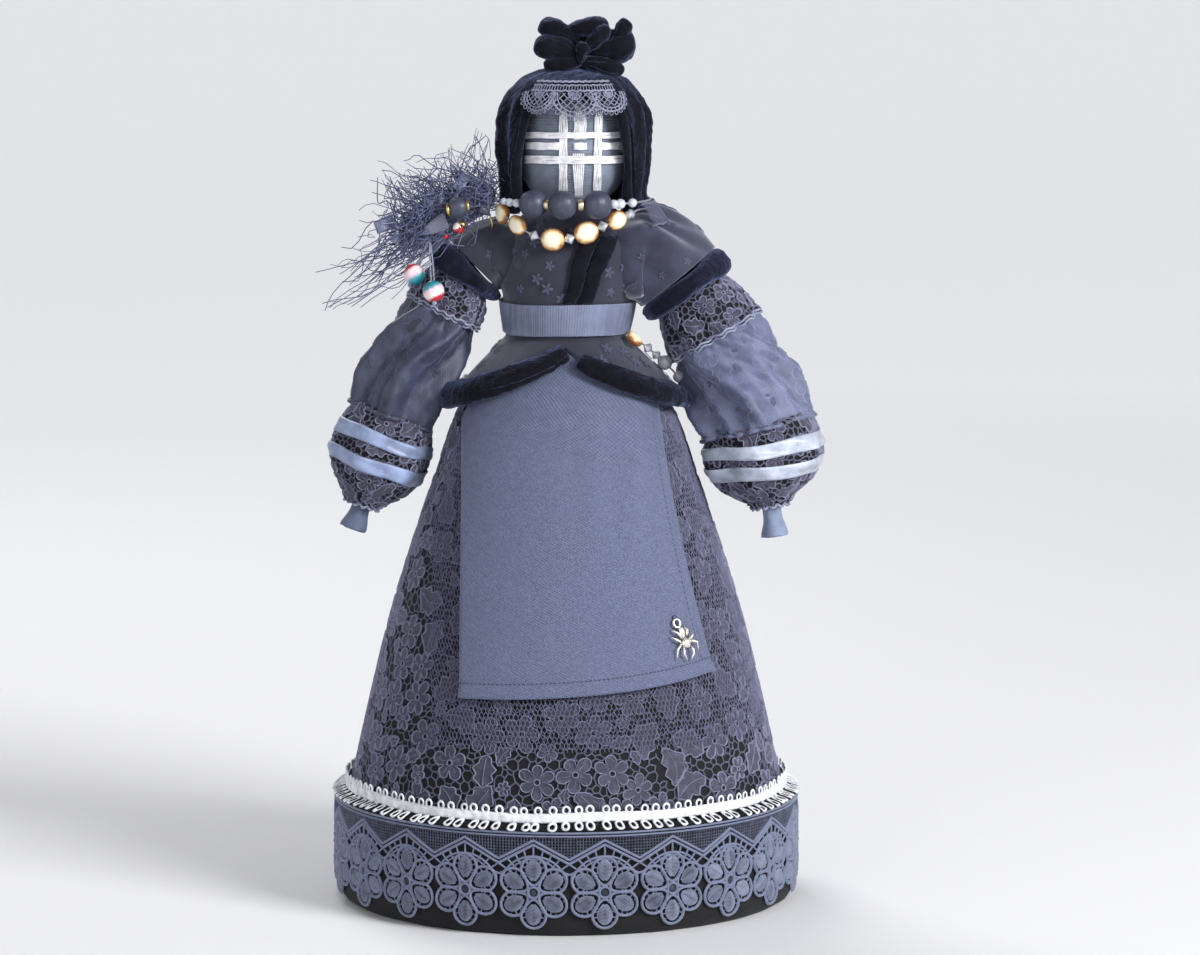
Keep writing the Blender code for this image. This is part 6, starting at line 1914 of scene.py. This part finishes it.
def add_shoulder_charms(looks):
    spot, _ = tuft_surface(0.22, 0.1, 3.85)
    bead = Body()
    bead.turned(spot, (1.0, 0.0, 0.2), ball_outline(3.75, 7.4, 20, 0.86), 36)
    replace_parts(bead.build("shoulder_wooden_bead", looks["wood"], "wood"), "shoulder_bead")
    gold = Body()
    axis = np.array([1.0, 0.0, 0.2]) / math.hypot(1.0, 0.2)
    for place, half in ((-3.0, 2.3), (3.1, 2.2)):
        a = np.linspace(-1.25, 1.25, 16)
        front = np.array([0.0, -1.0, 0.0])
        up = np.cross(axis, front)
        ring = []
        for k in a:
            along = axis * (place + 0.5 * math.cos(k) * np.sign(place))
            ring.append(spot + along + half * (math.cos(k) * front + math.sin(k) * up))
        gold.tube(np.array(ring), 0.62 * np.cos(a * 1.05).clip(0.25, 1), 8)
    tip, _ = tuft_surface(0.55, -0.3, 2.2)
    heading = np.array([0.8, 0.0, -0.6])
    cone = Body()
    outline = [(-2.2, 0.5), (-2.0, 1.4), (-1.2, 1.75), (0.0, 1.5), (1.6, 0.8), (2.8, 0.3)]
    cone.turned(tip + heading * 2.0, heading, outline, 24)
    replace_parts(cone.build("pointed_bead", looks["wood"], "wood"), "cone_bead")
    tail = tip + heading * 4.4
    steps = ((0.0, 0.0, 0.0), (0.4, -0.6, -1.6), (0.9, -0.3, -3.4), (0.5, 0.2, -5.2))
    gold.tube(tail + np.array(steps), 0.22, 6)

    spot, _ = tuft_surface(0.05, -0.62, 2.2)
    red = Body()
    red.turned(spot, (0.7, 0.0, 0.7), ball_outline(2.1, 3.7, 18, 0.8), 26)
    points = red.points[-1] - spot
    red.tints[-1] = 0.02 + 0.9 * smooth((points @ np.array([-0.6, -0.4, 0.7]) / 2.1 - 0.35) / 0.2)
    small = tuft_surface(-0.22, -0.72, 1.3)[0]
    red.turned(small, (0.3, 0.2, 1.0), ball_outline(1.15), 18, tints=np.full(12, 0.02))
    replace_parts(red.build("red_glass_beads", looks["red"], "red_glass"), "red_bead")
    outline = [(-0.7, 1.7), (-0.2, 1.5), (0.4, 0.9), (0.7, 0.3)]
    gold.turned(spot + np.array([0.7, -0.2, 0.7]) * 2.5, (0.7, 0.0, 0.7), outline, 18)
    gold.build("gold_caps", looks["brass"], "brass")

    rings = []
    for share in np.linspace(0, 1, 22):
        at = -0.06 - 0.56 * share
        half = 2.7 * math.sin(math.pi * min(0.5 + 0.5 * share, 0.97)) ** 0.8 + 0.15
        spot, out = tuft_surface(at, -0.1, 1.7 + 0.5 * math.sin(share * 3))
        across = tilted(np.array([0.2, 0.0, 1.0]))
        across /= np.linalg.norm(across)
        a = turns(18)
        thick = np.sin(a) * (0.55 + 0.25 * np.cos(a) ** 2)
        rings.append(spot + np.outer(np.cos(a) * half, across) + np.outer(thick, out))
    leaf = Body()
    leaf.loft(np.array(rings))
    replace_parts(leaf.build("suede_scrap", looks["suede"], "suede"), "suede_leaf")

    knot, _ = tuft_surface(-0.5, -0.5, 0.5)
    strings = Body()
    for name, centre, stripe in (("painted_bead_1", np.array([-52.4, -10.5, 219.4]), (0.5, -0.3, -0.8)),
                                 ("painted_bead_2", np.array([-45.6, -17.6, 214.2]), (0.45, -0.2, -0.85))):
        up = (knot - centre) / np.linalg.norm(knot - centre)
        bead = Body()
        bead.turned(centre, up, ball_outline(CHINA_RADIUS, 7.3, 22, 0.8), 36)
        way = np.array(stripe) / np.linalg.norm(stripe)
        bead.tints[-1] = np.clip(0.5 + 0.5 * ((bead.points[-1] - centre) @ way) / CHINA_RADIUS, 0.02, 1.0)
        if name.endswith("2"):
            bead.tints[-1] = np.clip(1.06 - bead.tints[-1], 0.02, 1.0)
        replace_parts(bead.build(f"{name}_china", looks["painted"], "painted"), name)
        for k in range(2):
            t = np.linspace(0, 1, 14)[:, None]
            sag = np.sin(np.pi * t) * np.array([0.5 - k, -0.6, -0.5 * k])
            strings.tube(knot + (centre - up * 4.3 - knot) * t + sag, 0.3, 6)
        strings.turned(centre - up * 4.2, up, ball_outline(0.8), 10)
    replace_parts(strings.build("charm_strings", looks["pale_lace"], "string"), "charm_cord")


def add_spider(looks):
    """The cast charm: two round parts, eight jointed legs and a ring by which it is sewn on."""
    angle, level = math.radians(37), 98.6
    outward = dress_frame(angle, level)
    low = skirt_points(np.array([angle, angle]), np.array([level - 1, level + 1]), 0.0)
    up = (low[1] - low[0]) / np.linalg.norm(low[1] - low[0])
    across = np.cross(up, outward)
    if across[0] < 0:
        across = -across
    foot = skirt_spot(angle, level, APRON_OFF + 0.5)

    def at(x, y, lift):
        return foot + across * x + up * y + outward * lift

    legs = (((0.0, -0.6), (-1.9, 1.6), (-3.5, 2.8)), ((-0.4, -2.0), (-2.5, -0.9), (-4.1, 0.7)),
            ((2.2, 0.2), (2.6, 2.2), (1.9, 3.9)), ((3.2, -1.0), (4.6, 0.3), (4.1, 2.1)),
            ((-0.4, -2.3), (-2.6, -4.0), (-3.0, -7.7)), ((0.2, -3.6), (-0.3, -6.0), (1.7, -8.5)),
            ((3.5, -3.4), (4.0, -5.8), (3.0, -8.3)), ((3.3, -1.5), (5.9, -2.2), (7.0, -5.7)))
    drawn = Body()
    for hip, knee, tip in legs:
        hip, knee, tip = np.array([hip, knee, tip])
        thigh, shin = (hip + knee) * 0.5, (tip + knee) * 0.5
        spots = ((hip, 1.0), (thigh, 1.7), (knee, 1.7), (shin, 1.1), (tip, 0.35))
        path = np.array([at(*spot, lift) for spot, lift in spots])
        drawn.tube(path, np.array([0.42, 0.4, 0.42, 0.3, 0.16]), 8)
    drawn.turned(at(0.5, 1.6, 1.1), up - across * 0.15, ball_outline(1.15, 4.0, 14), 20, 0.8, outward)
    drawn.turned(at(1.6, -2.2, 1.2), up, ball_outline(1.75, 3.6, 14), 22, 0.75, outward)
    ring = turns(24)
    eye = np.array([at(-0.8 + 1.4 * math.cos(k), 4.9 + 1.4 * math.sin(k), 0.9) for k in ring])
    drawn.tube(eye, 0.4, 8, closed=True)
    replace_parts(drawn.build("spider_cast", looks["pale_gold"], "brass"), "spider_charm")
    thread = Body()
    loop = turns(20)
    sewn = [at(-0.9 + 0.5 * math.sin(k), 6.4 + 1.3 * math.cos(k), 0.5 + 0.6 * math.sin(k)) for k in loop]
    thread.tube(np.array(sewn), 0.2, 5, closed=True)
    thread.build("spider_thread", looks["dark_thread"], "thread")


def add_collar(looks):
    """Crossed black net over the right shoulder."""
    drawn = Body()
    for way in (-1, 1):
        for k in range(-8, 34):
            t = np.linspace(0, 1, 9)
            angle = math.radians(58) + (k / 26) * math.radians(92) + way * t * math.radians(24)
            keep = (angle > math.radians(56)) & (angle < math.radians(152))
            if keep.sum() < 2:
                continue
            t = t[keep]
            radius = 33.2 - 5.0 * t**1.3
            path = round_points(radius, angle[keep], 237.2 + 7.0 * t) + HEAD_SHIFT
            drawn.tube(path, 0.17, 4)
    angle = np.radians(np.linspace(56, 152, 50))
    for radius, level in ((33.2, 237.2), (28.2, 244.2)):
        wavy = level + 0.2 * np.sin(angle * 30)
        drawn.tube(round_points(radius, angle, wavy) + HEAD_SHIFT, 0.34, 6)
    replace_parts(drawn.build("shoulder_net", looks["net"], "net"), "net_collar")


def organza_shader(name, colour):
    """Sheer stiff gauze, its tone varying in soft patches, with a bright grazing sheen."""
    made = Shader(name, colour, 0.5)
    made.vary(made.noise(7.0, 4.0, roughness=0.6), 0.6, 1.5)
    weave = made.maths("ADD", made.ridges(0.6, 1.0, 0.0), made.ridges(0.6, 0.0, 1.0))
    made.bump(weave, 0.35, 0.05)
    made.bump(made.noise(3.0, 3.0), 0.35, 0.35)
    made.sheen(0.9, 0.25, (0.75, 0.82, 1.0))
    return made.material


def satin_shader(name, colour):
    """Smooth ribbon that shines along its width."""
    made = Shader(name, colour, 0.3)
    made.vary(made.noise(6.0, 3.0), 0.5, 1.3)
    made.bump(made.ridges(0.3, 1.0, 0.0), 0.35, 0.03)
    made.bump(made.noise(1.6, 2.0), 0.25, 0.15)
    made.sheen(0.4, 0.3, (0.9, 0.95, 1.0))
    made.main.inputs["Anisotropic"].default_value = 0.6
    return made.material


def wood_shader(name, colour):
    """Dull black paint on turned wood."""
    made = Shader(name, colour, 0.42)
    made.vary(made.noise(1.4, 4.0, roughness=0.65), 0.7, 1.35)
    made.bump(made.noise(0.5, 3.0), 0.3, 0.08)
    return made.material


def metal_shader(name, colour, roughness):
    made = Shader(name, colour, roughness, 1.0)
    made.vary(made.noise(1.5, 3.0), 0.72, 1.15)
    made.bump(made.noise(0.6, 2.0), 0.25, 0.06)
    return made.material


def pearl_shader(name, colour):
    made = Shader(name, colour, 0.18)
    made.vary(made.noise(2.0, 2.0), 0.85, 1.12)
    made.main.inputs["Coat Weight"].default_value = 0.6
    made.sheen(0.3, 0.3, (0.9, 0.85, 1.0))
    return made.material


def crystal_shader(name):
    made = Shader(name, tone(222, 226, 236), 0.04)
    made.vary(made.noise(1.0, 2.0), 0.85, 1.05)
    made.main.inputs["IOR"].default_value = 1.9
    made.main.inputs["Coat Weight"].default_value = 0.8
    made.main.inputs["Transmission Weight"].default_value = 0.45
    return made.material


def tinted_shader(name, stops, roughness):
    """Colours that follow the piece's own tint, from 0 to 1, broken up a little."""
    made = Shader(name, tone(*stops[0][1]), roughness)
    tint = made.node("ShaderNodeAttribute")
    tint.attribute_name = "tint"
    fac = made.maths("ADD", tint.outputs["Fac"], made.maths("MULTIPLY", made.noise(1.4, 3.0), 0.12))
    fac = made.maths("SUBTRACT", fac, 0.06)
    ramp = made.node("ShaderNodeValToRGB", Fac=fac)
    elements = ramp.color_ramp.elements
    while len(elements) < len(stops):
        elements.new(0.5)
    for element, (place, colour) in zip(elements, stops):
        element.position = place
    for element, (place, colour) in zip(elements, stops):
        element.color = (*tone(*colour), 1.0)
    made.feed(made.main.inputs["Base Color"], ramp.outputs["Color"])
    made.main.inputs["Coat Weight"].default_value = 0.5
    made.bump(made.noise(0.8, 2.0), 0.15, 0.05)
    return made.material


SHELL_TINTS = ((0.0, (246, 238, 214)), (0.45, (232, 200, 140)), (1.0, (150, 92, 40)))
RED_TINTS = ((0.0, (176, 24, 20)), (0.5, (196, 40, 30)), (0.7, (240, 228, 220)))
CHINA_TINTS = (
    (0.0, (196, 44, 46)), (0.2, (200, 60, 60)), (0.32, (244, 230, 232)),
    (0.62, (236, 200, 212)), (0.74, (60, 156, 170)), (1.0, (24, 108, 128)),
)


def make_looks():
    return {
        "lining": plain_cloth_shader("black_lining", tone(5, 5, 9), sheen=0.05),
        "lace": thread_shader("mauve_black_lace", tone(64, 63, 82), cord=tone(122, 123, 150)),
        "lace_bars": thread_shader("mauve_lace_bars", tone(80, 80, 102)),
        "pale_lace": thread_shader("pale_lace", tone(138, 144, 166)),
        "guipure": thread_shader("slate_guipure", tone(34, 39, 54), cord=tone(112, 120, 146)),
        "guipure_petal": thread_shader("slate_petals", tone(30, 34, 48), 0.5, 0.5, cord=tone(128, 136, 160)),
        "brow_dark": thread_shader("dark_brow_lace", tone(70, 76, 96)),
        "net": thread_shader("black_net", tone(92, 94, 120)),
        "net_pale": thread_shader("pale_net", tone(112, 120, 150)),
        "apron": twill_shader("slate_twill", tone(95, 102, 130)),
        "dark_thread": thread_shader("dark_thread", tone(58, 62, 84)),
        "white": thread_shader("white_thread", tone(232, 233, 238), 0.7, 0.2),
        "bodice": plain_cloth_shader("black_cotton", tone(36, 38, 54), sheen=0.7),
        # Both caps are the bodice's black cotton: the left is near its own tone, and the right copy is
        # lighter as painted light.
        "cape_left": plain_cloth_shader("left_cap_cotton", tone(34, 36, 52), sheen=0.6),
        "cape_right": plain_cloth_shader("right_cap_cotton_painted_light", tone(48, 51, 72), sheen=1.0),
        "bodice_flower": thread_shader("cotton_blossom", tone(66, 70, 92)),
        "belt": ribbed_shader("slate_grosgrain", tone(112, 120, 146), 0.9, 0.34, 0.5),
        "velvet": velvet_shader("black_velvet", tone(8, 8, 16)),
        # A lighter copy of the black velvet for the cuffs: painted highlight where the lamps light them.
        "velvet_pale": velvet_shader("velvet_painted_highlight", tone(14, 15, 28)),
        # One black gauze on both sleeves: the left copy is darker as painted shade, the right copy lighter as
        # painted light.
        "organza_left": organza_shader("black_organza", tone(54, 59, 80)),
        "organza_right": organza_shader("organza_painted_light", tone(94, 100, 128)),
        # One lace under both organza sleeves: the left copy is darker as painted shade, the right copy
        # lighter as painted light.
        "under_left": thread_shader("under_lace_painted_shade", tone(40, 42, 60), cord=tone(70, 76, 100)),
        "under_right": thread_shader("under_lace_painted_light", tone(84, 88, 114), cord=tone(122, 130, 162)),
        # One satin ribbon on both cuffs: the left copy is darker as painted shade, the right copy paler as
        # painted light.
        "satin_left": satin_shader("satin_painted_shade", tone(140, 154, 190)),
        "satin_right": satin_shader("satin_painted_light", tone(186, 194, 212)),
        # One cloth for both rolled arms: the left copy is darker as painted shade, the right copy lighter as
        # painted light.
        "arm_left": plain_cloth_shader("arm_cloth_painted_shade", tone(96, 106, 132)),
        "arm_right": plain_cloth_shader("arm_cloth_painted_light", tone(132, 144, 172)),
        "cord": thread_shader("clear_string", tone(130, 134, 148), 0.5),
        "wood": wood_shader("black_wood", tone(58, 64, 82)),
        "champagne": metal_shader("champagne_metal", tone(222, 206, 178), 0.3),
        "pearl": pearl_shader("grey_pearl", tone(200, 204, 216)),
        "shell": tinted_shader("amber_shell", SHELL_TINTS, 0.22),
        "crystal": crystal_shader("clear_crystal"),
        "tuft": thread_shader("navy_thread", tone(58, 68, 108), 0.6, 0.8),
        "suede": plain_cloth_shader("grey_suede", tone(104, 106, 124), 0.2, 0.95, 0.8),
        "red": tinted_shader("red_glass", RED_TINTS, 0.12),
        "painted": tinted_shader("painted_china", CHINA_TINTS, 0.15),
        "brass": metal_shader("worn_gold", tone(214, 178, 104), 0.32),
        "pale_gold": metal_shader("pale_gold", tone(252, 246, 232), 0.4),
        "stuffing": plain_cloth_shader("calico_stuffing", tone(150, 146, 138)),
        "card": plain_cloth_shader("grey_card", tone(92, 88, 82), 0.5),
        "face": plain_cloth_shader("ribbed_face_cloth", tone(118, 127, 144)),
    }


# The studio


FLOOR_REACH = 2600.0
FLOOR_SHADED = 450.0
WALL_BEND = 900.0
WALL_TOP = 3600.0


def add_studio():
    # a round floor that curves up into a wall all round, for views from every side
    profile = [(1.0, 0.0), (WALL_BEND, 0.0), (FLOOR_REACH, 0.0)]
    for a in np.linspace(0, np.pi / 2, 14)[1:]:
        profile.append((FLOOR_REACH + WALL_BEND * math.sin(a), WALL_BEND - WALL_BEND * math.cos(a)))
    profile.append((FLOOR_REACH + WALL_BEND, WALL_TOP))
    reach, height = np.array(profile).T[:, :, None]
    around = turns(64)[None, :]
    grid = np.stack([reach * np.cos(around), reach * np.sin(around), height + 0 * around], -1)
    shader = Shader("pale_floor", tone(236, 236, 238), 0.9)
    rays = shader.node("ShaderNodeLightPath").outputs
    seen = shader.maths("MAXIMUM", rays["Is Camera Ray"], rays["Is Glossy Ray"])
    seen = shader.maths("MAXIMUM", seen, rays["Is Transmission Ray"])
    away = shader.node("ShaderNodeVectorMath", Vector=shader.place())
    away.operation = "LENGTH"
    far = shader.maths("SUBTRACT", away.outputs["Value"], FLOOR_SHADED * MM)
    far = shader.maths("MINIMUM", shader.maths("MAXIMUM", shader.maths("MULTIPLY", far, 0.8), 0.0), 0.9)
    glow = shader.node("ShaderNodeEmission", Color=(*tone(232, 233, 237), 1.0))
    mixed = shader.node("ShaderNodeMixShader", Fac=shader.maths("MULTIPLY", far, seen))
    shader.tree.links.new(shader.main.outputs[0], mixed.inputs[1])
    shader.tree.links.new(glow.outputs[0], mixed.inputs[2])
    shader.tree.links.new(mixed.outputs[0], shader.tree.nodes["Material Output"].inputs["Surface"])
    mesh = bpy.data.meshes.new("floor")
    mesh.from_pydata((grid.reshape(-1, 3) * MM).tolist(), [], grid_faces(len(profile), 64, True))
    mesh.shade_smooth()
    mesh.materials.append(shader.material)
    floor = bpy.data.objects.new("floor", mesh)
    bpy.context.scene.collection.objects.link(floor)
    floor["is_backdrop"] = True

    scene = bpy.context.scene
    world = bpy.data.worlds.new("studio")
    scene.world = world
    world.use_nodes = True
    back = world.node_tree.nodes["Background"]
    back.inputs["Color"].default_value = (0.93, 0.95, 1.0, 1.0)
    back.inputs["Strength"].default_value = 0.23

    lamps = (
        ("key", (1350, -1200, 1000), 800, 42.0),
        ("fill", (-900, -1700, 500), 1200, 8.0),
        ("rim", (-500, 1100, 1200), 800, 12.0),
    )
    for name, place, size, power in lamps:
        lamp = bpy.data.lights.new(name, "AREA")
        lamp.size = size * MM
        lamp.energy = power
        made = bpy.data.objects.new(name, lamp)
        made.location = Vector(place) * MM
        aim = Vector((0, 0, 140)) * MM - made.location
        made.rotation_euler = aim.to_track_quat("-Z", "Y").to_euler()
        scene.collection.objects.link(made)

    lens = bpy.data.cameras.new("camera")
    lens.lens = CAMERA_LENS
    lens.sensor_width = CAMERA_SENSOR
    camera = bpy.data.objects.new("camera", lens)
    back_way = Vector((0, -math.cos(CAMERA_ELEVATION), math.sin(CAMERA_ELEVATION)))
    camera.location = (Vector(CAMERA_TARGET) + back_way * CAMERA_DISTANCE) * MM
    camera.rotation_euler = (-back_way).to_track_quat("-Z", "Y").to_euler()
    scene.collection.objects.link(camera)
    scene.camera = camera
    scene.view_settings.view_transform = "Standard"


def corners(box):
    return [list(map(float, corner)) for corner in box]


def declare_sheets():
    """Lists, for each sleeve, the sizes its cloths were cut to and the lace pieces on its frill and cuff; the
    lists are not used.
    """

    sizes = {
        "left": ((0.088, 0.026), (0.078, 0.0145), (0.1, 0.043), (0.1, 0.035)),
        "right": ((0.115, 0.036), (0.1, 0.018), (0.125, 0.038), (0.115, 0.032)),
    }
    for label, (cap, frill, puff, cuff) in sizes.items():
        for name, flat in (("sleeve", frill), ("cuff", cuff)):
            lace = [f"lace_{name}_{label}_{part}" for part in ("flowers", "bars", "edge")]
            if name == "cuff":
                lace += [f"satin_upper_{label}", f"satin_lower_{label}"]


def finish_hidden_nodes(looks):
    """Card and cloth for the CAD nodes that stay as they are, inside the doll."""
    for node, look, slot in (("base_disc", "card", "card"), ("skirt_filling", "stuffing", "stuffing"),
                             ("torso_roll", "stuffing", "stuffing")):
        kept = bpy.data.objects.get(node)
        if kept is None:
            continue
        kept.data.materials.clear()
        kept.data.materials.append(looks[look].copy())


def main():
    for item in list(bpy.data.objects):
        bpy.data.objects.remove(item, do_unlink=True)
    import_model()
    cad_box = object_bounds()
    looks = make_looks()
    add_studio()
    finish_hidden_nodes(looks)
    add_skirt_lining(looks)
    add_skirt_lace(looks)
    add_net_panel(looks)
    add_apron(looks)
    add_hem_band(looks)
    add_hem_lace(looks)
    add_braid(looks)
    add_bodice(looks)
    add_belt(looks)
    add_lapels(looks)
    add_trims(looks)
    add_head(looks)
    add_face_threads(looks)
    add_hood(looks)
    add_rosette(looks)
    add_brow_lace(looks)
    rng = np.random.default_rng(SEED + 4)
    add_arm(looks, "left", LEFT_ARM, -1.0, LEFT_SLEEVE, rng)
    add_arm(looks, "right", RIGHT_ARM, 1.0, RIGHT_SLEEVE, rng)
    add_necklaces(looks)
    add_hip_chain(looks)
    add_tuft(looks)
    add_shoulder_charms(looks)
    add_spider(looks)
    add_collar(looks)
    declare_sheets()
    {"cad": corners(cad_box), "visual": corners(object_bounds())}


main()
